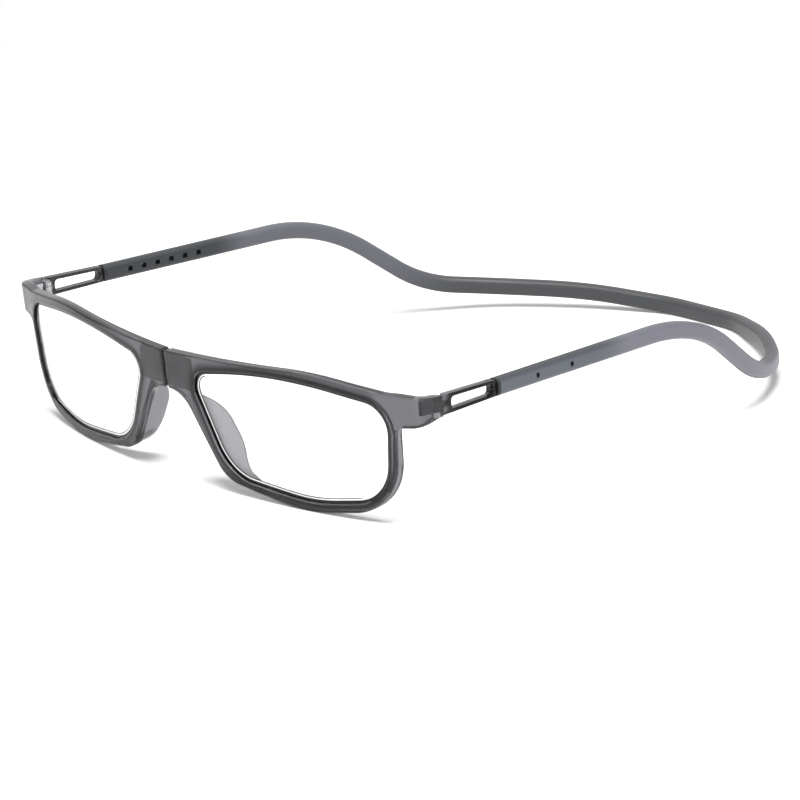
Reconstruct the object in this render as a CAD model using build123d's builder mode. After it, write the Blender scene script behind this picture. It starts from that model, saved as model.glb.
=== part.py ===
from build123d import *
import os
from math import asin, cos, radians, sin, sqrt, tan

# Magnetic reading glasses: two half fronts that snap together at the nose, each hinged to a
# slotted temple arm, whose tongue slides in the hollow end of one springy band round the neck.
# Lengths are millimetres and angles degrees. +X is the wearer's left, +Y runs back from the
# lenses to the neck, +Z is up, and the glasses stand on z = 0 with x = 0 as their mirror plane.
# The left half is modelled and the right half is its mirror image.

# Front frame
lens_width = 51.6
lens_height = 25.3
lens_spacing = 18.4
lens_thickness = 1.2
lens_lip = 0.5
lens_set_back = 0.6
lens_fit = 0.03
front_radius = 205.0
front_tilt = 3.4
front_depth = 2.4
top_wall = 1.2
bottom_wall = 1.5
temple_wall = 2.0

# Bridge, with its insert and magnet
seam_gap = 0.8
seam_corner_radius = 0.4
bridge_height = 8.2
bridge_drop = 0.4
bridge_neck_radius = 7.5
insert_length = 8.0
insert_height = 6.6
insert_wall = 0.45
magnet_length = 3.4
magnet_height = 3.2
magnet_depth = 1.0

# Nose pads, moulded with the front
pad_drop = 0.4
pad_bottom = 2.2
pad_thickness = 1.7
pad_reach = 5.0
pad_splay = 8.0
pad_crown_height = 15.0
pad_heel_height = 8.0
pad_corner_radius = 4.5

# Endpiece and hinge
hinge_reach = 6.0
hinge_set_back = 15.8
endpiece_height = 6.7
endpiece_rise = 2.0
endpiece_overhang = 2.5
endpiece_thickness = 2.8
endpiece_outer_radius = 4.2
endpiece_inner_radius = 1.2
endpiece_notch_radius = 2.0
heel_length = 7.0
butt_clearance = 0.15
knuckle_radius = 1.15
knuckle_clearance = 0.15
knuckle_gap = 0.08
hinge_height = 2.8
middle_knuckle_height = 1.1
leaf_thickness = 0.8
front_leaf_length = 3.7
temple_leaf_length = 2.0
temple_leaf_offset = 0.7
leaf_fit = 0.02
screw_radius = 0.45
screw_fit = 0.05
screw_head_radius = 0.85
screw_head_height = 0.3
screw_slot_width = 0.2
screw_slot_depth = 0.15

# Temple arm
arm_drop = 3.1
arm_toe = 4.1
arm_offset = 1.3
arm_thickness = 2.2
arm_front_height = 4.1
arm_rear_height = 3.4
arm_length = 14.4
window_start = 2.4
window_length = 11.0
window_front_height = 2.5
window_rear_height = 2.1
window_corner_radius = 0.8
tongue_length = 28.4
tongue_height = 1.9
tongue_thickness = 1.3

# Neck band
band_height = 3.6
band_thickness = 3.0
band_corner_radius = 1.1
straight_length = 56.0
loop_depth = 145.5
split_gap = 0.05
bore_clearance = 0.12
bore_spare_length = 1.5
stop_ring_length = 0.7
stop_clearance = 0.05
first_pin_hole = 10.2
pin_hole_pitch = 9.4
pin_hole_count = 2
pin_hole_width = 0.8
pin_hole_height = 1.1
notch_count = 6
first_notch = 5.9
notch_pitch = 3.5
notch_length = 1.2
notch_height = 1.1

overrun = 5.0

# Outline of a lens opening, from the nose over the brow and round: place across the width,
# place up the height, and corner radius over the height
opening_shares = (
    (-0.032, 0.900, 0.163),
    (0.468, 1.062, 4.200),
    (1.016, 0.905, 0.317),
    (0.971, 0.109, 0.401),
    (0.611, 0.003, 1.883),
    (0.155, 0.091, 0.470),
)

# Outline of half the front in the same order, measured from the mirror plane and the floor
front_shares = (
    (0.000, 0.980, 0.150),
    (0.663, 1.043, 3.400),
    (1.003, 0.965, 0.200),
    (0.977, 0.086, 0.520),
    (0.606, -0.026, 1.700),
    (0.253, 0.100, 0.313),
)

# Corners of the neck band behind its straight run: place out towards the hinge, back along the
# loop depth, and up the arm height above the resting band
band_corner_shares = (
    (0.837, 0.750, 0.217),
    (0.699, 0.841, 0.134),
    (0.448, 0.926, 0.099),
)
back_run_share = 0.163
arc_run_share = 0.45

# Most of an outline's side that the arcs at its two ends may take up
side_run_share = 0.995

# Places and directions that follow from the sizes
seam_x = seam_gap / 2
opening_x = lens_spacing / 2
opening_end_x = opening_x + lens_width
half_width = opening_end_x + temple_wall
hinge_x = opening_end_x + hinge_reach
outer_x = hinge_x + endpiece_overhang
front_height = bottom_wall + lens_height + top_wall
arm_height = front_height - arm_drop
bridge_top = front_height - bridge_drop
bridge_bottom = bridge_top - bridge_height
endpiece_top = arm_height + endpiece_rise
endpiece_bottom = endpiece_top - endpiece_height
pad_top = bridge_bottom - pad_drop
front_lean = bridge_top * sin(radians(front_tilt))
front_y = (front_lean - loop_depth) / 2
hinge_y = front_y + hinge_set_back
back_y = front_y + loop_depth - band_thickness / 2
butt_y = hinge_y - butt_clearance
hinge_bottom = arm_height - hinge_height / 2
middle_bottom = arm_height - middle_knuckle_height / 2
arm_start_x = hinge_x + arm_offset
front_reach = hinge_set_back + overrun
toe_back = Vector(-sin(radians(arm_toe)), cos(radians(arm_toe)), 0)
toe_out = Vector(cos(radians(arm_toe)), sin(radians(arm_toe)), 0)
tilt_back = Vector(0, cos(radians(front_tilt)), sin(radians(front_tilt)))
tilt_up = Vector(0, -sin(radians(front_tilt)), cos(radians(front_tilt)))
front_origin = Vector(0, front_y, 0)
front_plane = Plane(origin=front_origin, x_dir=(1, 0, 0), z_dir=-tilt_back)
plan_plane = Plane(origin=front_origin, x_dir=(1, 0, 0), z_dir=tilt_up)
side_plane = Plane(origin=front_origin, x_dir=tilt_back, z_dir=(1, 0, 0))
arm_start = Vector(arm_start_x, hinge_y + butt_clearance, arm_height)
arm_plane = Plane(origin=arm_start, x_dir=toe_back, z_dir=toe_out)
ring_start = arm_start + toe_back * (arm_length + stop_clearance)
mouth = ring_start + toe_back * stop_ring_length


def outline_corners(shares, left, bottom, width, height):
    """Corner points of an outline that fills a box."""
    return [(left + width * x, bottom + height * z) for x, z, _ in shares]


def held_radii(corners, radii):
    """Corner radii of a closed outline, held to the room along its sides."""
    points = [Vector(*corner) for corner in corners]
    sides = [after - before for before, after in zip(points, points[1:] + points[:1])]
    turns = [radians(before.get_angle(after)) for before, after in zip(sides[-1:] + sides[:-1], sides)]
    reaches = [radius * tan(turn / 2) for radius, turn in zip(radii, turns)]
    next_reaches = reaches[1:] + reaches[:1]
    held = []
    for place, radius in enumerate(radii):
        used_before = (reaches[place - 1] + reaches[place]) / sides[place - 1].length
        used_after = (reaches[place] + next_reaches[place]) / sides[place].length
        used = max(used_before, used_after)
        if used > side_run_share:
            radius *= side_run_share / used
        held.append(radius)
    return held


def outline_radii(shares, corners, growth):
    """Corner radii of an outline, grown by a margin."""
    return held_radii(corners, [lens_height * radius + growth for _, _, radius in shares])


def arc_depth(radius, across):
    """Depth behind the middle of the front of an arc about the same centre."""
    return front_radius - sqrt(radius**2 - across**2)


def lean_height(height, y):
    """Height above the floor of a place up the leaning front, at a distance back."""
    lean = radians(front_tilt)
    return height / cos(lean) + (y - front_y) * tan(lean)


def lens_blank(growth):
    """A curved lens, larger all round by a growth."""
    front = front_radius - lens_set_back + growth
    back = front_radius - lens_set_back - lens_thickness - growth
    corners = outline_corners(
        opening_shares,
        opening_x - lens_lip - growth,
        bottom_wall - lens_lip - growth,
        lens_width + 2 * (lens_lip + growth),
        lens_height + 2 * (lens_lip + growth),
    )
    radii = outline_radii(opening_shares, corners, lens_lip + growth)
    with BuildPart() as blank:
        with BuildSketch(front_plane):
            with BuildLine():
                FilletPolyline(*corners, radius=radii, close=True)
            make_face()
        extrude(amount=front_reach, both=True)
        with BuildSketch(plan_plane):
            with Locations((0, front_radius)):
                Circle(front)
                Circle(back, mode=Mode.SUBTRACT)
        extrude(amount=front_height + overrun, mode=Mode.INTERSECT)
    return blank.part


def corner_radii(points):
    """Fillet radii that let neighbouring arcs of a polyline share its shorter runs."""
    radii = []
    for before, corner, after in zip(points, points[1:], points[2:]):
        run_in = corner - before
        run_out = after - corner
        half_turn = radians(run_in.get_angle(run_out)) / 2
        radii.append(arc_run_share * min(run_in.length, run_out.length) / tan(half_turn))
    return radii


# Lens
lens = lens_blank(0)
lens_seat = lens_blank(lens_fit)

# Magnet and the insert that holds it, in the end of the bridge
bridge_middle = front_origin + tilt_up * (bridge_top - bridge_height / 2) + tilt_back * front_depth / 2
seam_plane = Plane(origin=bridge_middle + Vector(seam_x, 0, 0), x_dir=tilt_back, z_dir=(1, 0, 0))
insert_depth = front_depth - 2 * insert_wall

with BuildPart() as magnet:
    with BuildSketch(seam_plane):
        Rectangle(magnet_depth, magnet_height)
    extrude(amount=magnet_length)

with BuildPart() as magnet_insert:
    with BuildSketch(seam_plane):
        Rectangle(insert_depth, insert_height)
    extrude(amount=insert_length)
    with BuildSketch(seam_plane):
        Rectangle(magnet_depth, magnet_height)
    extrude(amount=magnet_length, mode=Mode.SUBTRACT)

# Nose pad: a splayed wall that follows the nasal outline, trimmed to its side view
front_corners = outline_corners(front_shares, 0, 0, half_width, front_height)
opening_corners = outline_corners(opening_shares, opening_x, bottom_wall, lens_width, lens_height)
nasal_top = Vector(*front_corners[0])
nasal_run = Vector(*front_corners[-1]) - nasal_top


def nasal_point(height):
    """Point of the front's nasal outline at a height."""
    return nasal_top + nasal_run * ((height - nasal_top.Y) / nasal_run.Y)


pad_direction = tilt_back * cos(radians(pad_splay)) + Vector(sin(radians(pad_splay)), 0, 0)
pad_depth = front_depth + pad_reach

pad_corners = [
    (0, pad_top),
    (front_depth, pad_top),
    (pad_depth, pad_crown_height),
    (pad_depth, pad_heel_height),
    (front_depth, pad_bottom),
    (0, pad_bottom),
]
pad_radii = [0, pad_corner_radius, pad_corner_radius, pad_corner_radius, pad_corner_radius, 0]

with BuildPart() as nose_pad:
    with BuildSketch(front_plane.offset(-front_depth / 2)):
        with BuildLine():
            FilletPolyline(*front_corners, radius=outline_radii(front_shares, front_corners, 0), close=True)
        make_face()
        offset(amount=-pad_thickness, mode=Mode.SUBTRACT)
    extrude(amount=pad_depth, dir=pad_direction)
    with BuildSketch(side_plane):
        with BuildLine():
            FilletPolyline(*pad_corners, radius=held_radii(pad_corners, pad_radii), close=True)
        make_face()
    extrude(amount=half_width / 2, mode=Mode.INTERSECT)

# Hinge: a leaf let into the front, a leaf let into the arm, and the screw through both
hinge_centre = (hinge_x, hinge_y)
front_leaf_centre = (hinge_x, hinge_y - front_leaf_length / 2)
temple_leaf_centre = (hinge_x + temple_leaf_offset, hinge_y + temple_leaf_length / 2)
hinge_plane = Plane.XY.offset(hinge_bottom)
middle_plane = Plane.XY.offset(middle_bottom)

with BuildPart() as hinge_front_leaf:
    with BuildSketch(hinge_plane):
        with Locations(hinge_centre):
            Circle(knuckle_radius)
        with Locations(front_leaf_centre):
            Rectangle(leaf_thickness, front_leaf_length)
    extrude(amount=hinge_height)
    with BuildSketch(Plane.XY.offset(middle_bottom - knuckle_gap)):
        with Locations(hinge_centre):
            Circle(knuckle_radius + knuckle_clearance)
    extrude(amount=middle_knuckle_height + 2 * knuckle_gap, mode=Mode.SUBTRACT)
    with BuildSketch(hinge_plane):
        with Locations(hinge_centre):
            Circle(screw_radius + leaf_fit)
    extrude(amount=hinge_height, mode=Mode.SUBTRACT)

with BuildPart() as hinge_temple_leaf:
    with BuildSketch(middle_plane):
        with Locations(hinge_centre):
            Circle(knuckle_radius)
        with Locations(temple_leaf_centre):
            Rectangle(leaf_thickness, temple_leaf_length)
        with Locations(hinge_centre):
            Circle(screw_radius + screw_fit, mode=Mode.SUBTRACT)
    extrude(amount=middle_knuckle_height)

with BuildPart() as hinge_screw:
    with BuildSketch(hinge_plane):
        with Locations(hinge_centre):
            Circle(screw_radius)
    extrude(amount=hinge_height)
    with BuildSketch(hinge_plane.offset(hinge_height)):
        with Locations(hinge_centre):
            Circle(screw_head_radius)
    extrude(amount=screw_head_height)
    with BuildSketch(hinge_plane.offset(hinge_height + screw_head_height)):
        with Locations(hinge_centre):
            Rectangle(screw_head_radius * 2, screw_slot_width)
    extrude(amount=-screw_slot_depth, mode=Mode.SUBTRACT)


def knuckle_pocket():
    """Round pocket that the knuckles turn in, open above and below."""
    with BuildPart() as pocket:
        with BuildSketch():
            with Locations(hinge_centre):
                Circle(knuckle_radius + knuckle_clearance)
        extrude(amount=arm_height + arm_front_height)
    return pocket.part


def leaf_pocket(centre, length, bottom, height):
    """Slot that a hinge leaf is let into."""
    with BuildPart() as pocket:
        with BuildSketch(Plane.XY.offset(bottom - leaf_fit)):
            with Locations(centre):
                Rectangle(leaf_thickness + 2 * leaf_fit, length + 2 * leaf_fit)
        extrude(amount=height + 2 * leaf_fit)
    return pocket.part


# Half front: its front view cut to its plan, with the lens, pad, insert and hinge let in
seam_front = (seam_x, arc_depth(front_radius, seam_x))
front_end = (opening_end_x, arc_depth(front_radius, opening_end_x))
front_slope = tan(asin(opening_end_x / front_radius))
back_radius = front_radius - front_depth
seam_back = (seam_x, arc_depth(back_radius, seam_x))
back_end = (opening_end_x, arc_depth(back_radius, opening_end_x))
back_slope = tan(asin(opening_end_x / back_radius))
inner_x = outer_x - endpiece_thickness
bridge_end = opening_x + lens_height * opening_shares[0][2]
bridge_foot = bridge_bottom - bridge_neck_radius
outer_corner = (outer_x, front_end[1] + (outer_x - opening_end_x) * front_slope)
inner_corner = (inner_x, back_end[1] + (inner_x - opening_end_x) * back_slope)
heel_top = arm_height + arm_front_height / 2
heel_bottom = arm_height - arm_front_height / 2
heel_start = butt_y - heel_length
bridge_corners = [
    (seam_x, bridge_top),
    (bridge_end, bridge_top),
    (bridge_end, bridge_foot),
    nasal_point(bridge_foot),
    nasal_point(bridge_bottom),
    (seam_x, bridge_bottom),
]
bridge_radii = [0, 0, 0, 0, bridge_neck_radius, 0]
heel_top_cut = [
    (heel_start, endpiece_top + overrun),
    (heel_start, lean_height(endpiece_top, heel_start)),
    (butt_y, heel_top),
    (butt_y + overrun, heel_top),
    (butt_y + overrun, endpiece_top + overrun),
]
heel_bottom_cut = [
    (heel_start, heel_bottom - overrun),
    (heel_start, lean_height(endpiece_bottom, heel_start)),
    (butt_y, heel_bottom),
    (butt_y + overrun, heel_bottom),
    (butt_y + overrun, heel_bottom - overrun),
]

with BuildPart() as rim:
    with BuildSketch(front_plane) as front_view:
        with BuildLine():
            FilletPolyline(*front_corners, radius=outline_radii(front_shares, front_corners, 0), close=True)
        make_face()
        with BuildLine():
            FilletPolyline(*bridge_corners, radius=held_radii(bridge_corners, bridge_radii), close=True)
        make_face()
        with Locations((opening_end_x + overrun, endpiece_bottom)):
            Rectangle(front_reach, endpiece_height, align=(Align.CENTER, Align.MIN))
        notch = (half_width, endpiece_bottom)
        fillet(front_view.vertices().sort_by_distance(notch)[0], endpiece_notch_radius)
    extrude(amount=front_reach, both=True)
    with BuildSketch(plan_plane) as plan_view:
        with BuildLine():
            RadiusArc(seam_front, front_end, -front_radius)
            FilletPolyline(front_end, outer_corner, (outer_x, front_reach), radius=endpiece_outer_radius)
            Line((outer_x, front_reach), (inner_x, front_reach))
            FilletPolyline((inner_x, front_reach), inner_corner, back_end, radius=endpiece_inner_radius)
            RadiusArc(back_end, seam_back, back_radius)
            Line(seam_back, seam_front)
        make_face()
        fillet(plan_view.vertices().group_by(Axis.X)[0], seam_corner_radius)
    extrude(amount=front_height + overrun, both=True, mode=Mode.INTERSECT)
    add(nose_pad.part)
    with BuildSketch(front_plane):
        with BuildLine():
            FilletPolyline(*opening_corners, radius=outline_radii(opening_shares, opening_corners, 0), close=True)
        make_face()
    extrude(amount=front_reach, both=True, mode=Mode.SUBTRACT)
    split(bisect_by=Plane.XZ.offset(-butt_y), keep=Keep.TOP)
    split(bisect_by=Plane.XY, keep=Keep.TOP)
    add(lens_seat, mode=Mode.SUBTRACT)
    with BuildSketch(seam_plane):
        Rectangle(insert_depth, insert_height)
    extrude(amount=insert_length, mode=Mode.SUBTRACT)
    with BuildSketch(Plane.YZ.offset(half_width)):
        with BuildLine():
            Polyline(*heel_top_cut, close=True)
        make_face()
        with BuildLine():
            Polyline(*heel_bottom_cut, close=True)
        make_face()
    extrude(amount=front_reach, mode=Mode.SUBTRACT)
    add(knuckle_pocket(), mode=Mode.SUBTRACT)
    add(leaf_pocket(front_leaf_centre, front_leaf_length, hinge_bottom, hinge_height), mode=Mode.SUBTRACT)

# Temple arm: a slotted frame that ends in the tongue
with BuildPart() as temple_arm:
    with BuildSketch(arm_plane):
        with BuildLine():
            Polyline(
                (0, arm_front_height / 2),
                (arm_length, arm_rear_height / 2),
                (arm_length, -arm_rear_height / 2),
                (0, -arm_front_height / 2),
                close=True,
            )
        make_face()
        with BuildLine():
            FilletPolyline(
                (window_start, window_front_height / 2),
                (window_start + window_length, window_rear_height / 2),
                (window_start + window_length, -window_rear_height / 2),
                (window_start, -window_front_height / 2),
                radius=window_corner_radius,
                close=True,
            )
        make_face(mode=Mode.SUBTRACT)
    extrude(amount=arm_thickness / 2, both=True)
    with BuildSketch(Plane(origin=arm_start + toe_back * arm_length, x_dir=toe_out, z_dir=toe_back)):
        Rectangle(tongue_thickness, tongue_height)
    extrude(amount=tongue_length)
    add(knuckle_pocket(), mode=Mode.SUBTRACT)
    add(
        leaf_pocket(temple_leaf_centre, temple_leaf_length, middle_bottom, middle_knuckle_height),
        mode=Mode.SUBTRACT,
    )

# Neck band: straight hollow end, then down in two easy bends and round behind the neck
straight_end = mouth + toe_back * straight_length
band_points = [mouth, straight_end]
for across, along, above in band_corner_shares:
    height = band_height / 2 + (arm_height - band_height / 2) * above
    band_points.append(Vector(hinge_x * across, front_y + loop_depth * along, height))
band_points.append(Vector(hinge_x * back_run_share, back_y, band_height / 2))
band_points.append(Vector(split_gap / 2, back_y, band_height / 2))
section_plane = Plane(origin=mouth, x_dir=toe_out, z_dir=toe_back)
outer_face = mouth + toe_out * (band_thickness / 2)
inner_face = mouth - toe_out * (band_thickness / 2)
bore_length = tongue_length + bore_spare_length
bore_width = tongue_thickness + 2 * bore_clearance
bore_height = tongue_height + 2 * bore_clearance
lift = Vector(0, 0, overrun)

with BuildPart() as neck_band:
    with BuildLine(mode=Mode.PRIVATE) as guide:
        FilletPolyline(*[point + lift for point in band_points], radius=corner_radii(band_points))
    with BuildLine():
        FilletPolyline(*band_points, radius=corner_radii(band_points))
    with BuildSketch(section_plane):
        RectangleRounded(band_thickness, band_height, band_corner_radius)
    sweep(binormal=guide.wires()[0])
    with BuildSketch(section_plane):
        Rectangle(bore_width, bore_height)
    extrude(amount=bore_length, mode=Mode.SUBTRACT)
    with BuildSketch(Plane(origin=outer_face, x_dir=toe_back, z_dir=toe_out)):
        for hole in range(pin_hole_count):
            with Locations((first_pin_hole + hole * pin_hole_pitch, 0)):
                Ellipse(pin_hole_width / 2, pin_hole_height / 2)
    extrude(amount=-band_thickness / 2, mode=Mode.SUBTRACT)
    with BuildSketch(Plane(origin=inner_face, x_dir=toe_back, z_dir=-toe_out)):
        for notch in range(notch_count):
            with Locations((first_notch + notch * notch_pitch, 0)):
                Rectangle(notch_length, notch_height)
    extrude(amount=-band_thickness / 2, mode=Mode.SUBTRACT)

# Dark ring that trims the mouth of the band
with BuildPart() as stop_ring:
    with BuildSketch(Plane(origin=ring_start, x_dir=toe_out, z_dir=toe_back)):
        RectangleRounded(band_thickness, band_height, band_corner_radius)
        Rectangle(bore_width, bore_height, mode=Mode.SUBTRACT)
    extrude(amount=stop_ring_length)

left_pieces = {
    "rim": rim.part,
    "lens": lens,
    "magnet": magnet.part,
    "magnet_insert": magnet_insert.part,
    "hinge_front_leaf": hinge_front_leaf.part,
    "hinge_temple_leaf": hinge_temple_leaf.part,
    "hinge_screw": hinge_screw.part,
    "temple_arm": temple_arm.part,
    "neck_band": neck_band.part,
    "stop_ring": stop_ring.part,
}

os.makedirs("parts", exist_ok=True)
for piece_name, left_piece in left_pieces.items():
    with BuildPart() as right_piece:
        mirror(left_piece, about=Plane.YZ)
    left_piece.label = piece_name + "_left"
    right_piece.part.label = piece_name + "_right"
    export_step(left_piece, "parts/" + left_piece.label + ".step")
    export_step(right_piece.part, "parts/" + right_piece.part.label + ".step")
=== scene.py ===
from math import asin, ceil, cos, pi, radians, sin, sqrt, tan

import bmesh
import bpy
from bpy.props import FloatProperty, FloatVectorProperty, IntProperty, PointerProperty
from mathutils import Matrix, Vector
from mathutils.geometry import delaunay_2d_cdt
from mathutils.kdtree import KDTree
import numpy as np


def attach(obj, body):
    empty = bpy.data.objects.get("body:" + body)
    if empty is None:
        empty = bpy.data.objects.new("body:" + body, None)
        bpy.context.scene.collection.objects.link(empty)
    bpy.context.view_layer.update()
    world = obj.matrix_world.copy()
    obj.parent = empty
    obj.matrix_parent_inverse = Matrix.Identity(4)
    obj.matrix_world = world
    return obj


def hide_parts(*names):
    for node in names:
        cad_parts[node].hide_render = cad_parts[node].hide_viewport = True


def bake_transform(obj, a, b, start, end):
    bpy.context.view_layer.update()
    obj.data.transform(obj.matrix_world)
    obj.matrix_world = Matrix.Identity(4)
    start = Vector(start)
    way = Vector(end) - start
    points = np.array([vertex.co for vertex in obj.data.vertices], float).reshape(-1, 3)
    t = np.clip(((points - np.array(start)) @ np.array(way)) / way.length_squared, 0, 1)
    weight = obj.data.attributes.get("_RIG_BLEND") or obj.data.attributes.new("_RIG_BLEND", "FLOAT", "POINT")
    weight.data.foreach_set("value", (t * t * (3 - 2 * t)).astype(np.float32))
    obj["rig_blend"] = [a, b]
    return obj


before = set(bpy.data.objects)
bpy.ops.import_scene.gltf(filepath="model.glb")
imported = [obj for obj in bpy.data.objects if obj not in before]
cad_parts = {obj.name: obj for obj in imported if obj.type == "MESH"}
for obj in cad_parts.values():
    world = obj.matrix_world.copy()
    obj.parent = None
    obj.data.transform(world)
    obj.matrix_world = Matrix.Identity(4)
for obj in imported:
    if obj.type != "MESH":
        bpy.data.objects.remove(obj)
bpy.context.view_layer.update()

bl_info = {
    "name": "Magnetic Reading Glasses",
    "version": (1, 0, 0),
    "blender": (4, 5, 0),
    "location": "3D View > Sidebar > Glasses",
    "description": "Reading glasses that part at the bridge and hang from a neck band",
    "category": "Object",
}

# The script's lengths are metres and its angles radians. +X is the wearer's left, +Y runs back
# from the lenses to the neck and +Z is up. Left pieces are made, and mirrored for the right.
MM = 0.001
UP = Vector((0, 0, 1))
WHITE = (1, 1, 1, 1)
SIDES = ("left", "right")

# Steps round corners and along outlines, and pitches of the points that divide the faces
CORNER_STEP = 0.25 * MM
WINDOW_CORNER_STEP = 0.12 * MM
BAND_CORNER_STEP = 1.0 * MM
OUTLINE_STEP = 0.6 * MM
PAD_STEP = 0.5 * MM
NASAL_STEP = 0.3 * MM
BAND_STEP = 1.2 * MM
RIM_GRID = 0.7 * MM
PAD_GRID = 0.8 * MM
ARM_GRID = 0.8 * MM
LENS_GRID = 1.5 * MM

# Numbers of steps in corners, edges and the heel, and of sides on round cuts
FEWEST_CORNER_STEPS = 3
EDGE_STEPS = 4
HEEL_STEPS = 5
TONGUE_EDGE_STEPS = 2
SECTION_CORNER_STEPS = 7
POST_SIDES = 48
PIN_SIDES = 20

# Angles past which an edge stays sharp, the least cosine in a mitre, and a length too small to
# count
CREASE = radians(35)
BAND_CREASE = radians(40)
LEAST_MITRE = 0.4
TINY = 1e-9

# Softboxes: place, the point that each faces, width in metres and power in watts
SOFTBOXES = {
    "Overhead softbox": ((0.2, -0.16, 0.88), (0, 0, 0), 0.5, 12.0),
    "Side softbox": ((0.9, -0.5, 0.45), (0, 0, 0.02), 0.7, 2.2),
}

# Camera: width of its sensor in millimetres, and how far it sees in metres
SENSOR_WIDTH = 36
FARTHEST_VIEW = 100

# Outline of a lens opening, from the nose over the brow and round: place across the width,
# place up the height, and corner radius over the height
OPENING_SHARES = (
    (-0.032, 0.900, 0.163),
    (0.468, 1.062, 4.200),
    (1.016, 0.905, 0.250),
    (0.971, 0.109, 0.401),
    (0.611, 0.003, 1.883),
    (0.155, 0.091, 0.470),
)

# Outline of half the front, over its half width and height, with corner radii: the top of the
# nasal side, the three lower corners, the top of the temple side, the brow's end and the brow
NASAL_TOP_SHARES = (0.000, 0.980)
LOWER_FRONT_SHARES = (
    (0.253, 0.100, 0.313),
    (0.606, -0.026, 1.700),
    (0.977, 0.086, 0.520),
)
TEMPLE_TOP_SHARES = (1.003, 0.965)
BROW_END_SHARE = 0.955
BROW_SHARES = (0.663, 1.043, 3.400)

# Corners of the neck band behind its straight run: out towards the hinge, back along the loop
# and up the arm height above the resting band
BAND_CORNER_SHARES = (
    (0.837, 0.750, 0.217),
    (0.699, 0.841, 0.134),
    (0.448, 0.926, 0.099),
)
BACK_RUN_SHARE = 0.163
ARC_RUN_SHARE = 0.45

# Rows of the ground bevel round a lens, from inside: shares of its width and of its dark line's
# width from the opening, and each row's mark, -1 for painted shade and 1 for painted highlight
BEVEL_ROW_SHARES = (
    (1, 1.5, 0),
    (1, 1, -1),
    (1, 0.5, -1),
    (1, 0, 1),
    (0, 0.5, 1),
    (0, 0, 0),
)
LENS_EDGE_SHARE = 0.125
PAD_ROOT_SHARE = 1.2


def size(name, millimetres, description):
    """A length property whose default is written in millimetres."""
    return FloatProperty(
        name=name, description=description, default=millimetres * MM, unit="LENGTH", precision=5
    )


def angle(name, value, description):
    """An angle property whose default is written in degrees."""
    return FloatProperty(
        name=name, description=description, default=radians(value), subtype="ANGLE"
    )


def share(name, value, description):
    """A plain number property."""
    return FloatProperty(name=name, description=description, default=value)


def colour(name, value, description):
    """A linear colour property."""
    return FloatVectorProperty(
        name=name, description=description, default=value, subtype="COLOR", min=0, max=1
    )


class FrontSizes(bpy.types.PropertyGroup):
    """Sizes of the half fronts and their lenses"""

    lens_width: size("Lens width", 51.6, "Width of a lens opening")
    lens_height: size("Lens height", 25.3, "Height of a lens opening")
    lens_spacing: size("Lens spacing", 18.4, "Distance between the lens openings")
    lens_thickness: size("Lens thickness", 1.2, "Thickness of a lens")
    lens_lip: size("Lens lip", 0.5, "How far a lens reaches into its groove")
    lens_set_back: size("Lens set back", 0.6, "Distance of a lens behind the front face")
    # The ground bevel is drawn with a painted highlight and a line of painted shade, on the nasal and lower
    # sides alone
    bevel_width: size("Bevel width", 0.75, "Ground bevel of a lens inside its opening")
    bevel_line: size("Bevel line", 0.24, "Width of the dark line inside the bevel")
    bevel_end: share("Bevel end", 0.97, "Where the bevel ends, across and up the lens")
    bevel_lean: share("Bevel lean", 0.9, "Weight of the way across in the bevel's end")
    bevel_fade: share("Bevel fade", 0.06, "How gently the bevel ends")
    groove_fit: size("Groove fit", 0.05, "Clearance round a lens in its groove")
    radius: size("Front radius", 205.0, "Radius that the front bends round the face")
    tilt: angle("Front tilt", 3.4, "Lean of the front from upright")
    depth: size("Front depth", 2.4, "Depth of the front from face to back")
    top_wall: size("Top wall", 1.2, "Wall above a lens opening")
    bottom_wall: size("Bottom wall", 1.5, "Wall below a lens opening")
    temple_wall: size("Temple wall", 2.0, "Wall on the temple side of a lens opening")
    seam_gap: size("Seam gap", 0.8, "Gap between the half fronts")
    bridge_height: size("Bridge height", 8.2, "Height of the bridge")
    bridge_drop: size("Bridge drop", 0.4, "Drop of the bridge below the brow")
    bridge_neck_radius: size("Bridge neck radius", 7.5, "Radius under the bridge")
    edge_radius: size("Edge radius", 0.38, "Rounding of the front's outer edges")
    back_radius: size("Back edge radius", 0.55, "Rounding of the outer edges behind")
    corner_radius: size("Corner radius", 0.6, "Radius of the corners at the seam and the butt")
    opening_radius: size("Opening edge radius", 0.34, "Rounding of the lens opening's edges")
    notch_radius: size("Notch radius", 2.0, "Radius under the endpiece")
    endpiece_height: size("Endpiece height", 6.7, "Height of the endpiece")
    endpiece_rise: size("Endpiece rise", 2.0, "Top of the endpiece above the arm's middle")
    endpiece_overhang: size("Endpiece overhang", 2.5, "Endpiece outside the hinge axis")
    endpiece_thickness: size("Endpiece thickness", 2.8, "Thickness of the heel of the endpiece")
    endpiece_radius: size("Endpiece radius", 4.2, "Radius of the endpiece's outer corner")
    brow_end_radius: size("Brow end radius", 9.0, "Radius where the brow meets the endpiece")
    heel_length: size("Heel length", 7.0, "Length of the tapered heel")
    hinge_reach: size("Hinge reach", 6.0, "Hinge axis outside the lens opening")
    hinge_set_back: size("Hinge set back", 15.8, "Hinge axis behind the front")
    butt_clearance: size("Butt clearance", 0.06, "Clearance between endpiece and arm")
    pocket_radius: size("Knuckle pocket radius", 1.3, "Radius of the pocket round the knuckles")


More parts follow.
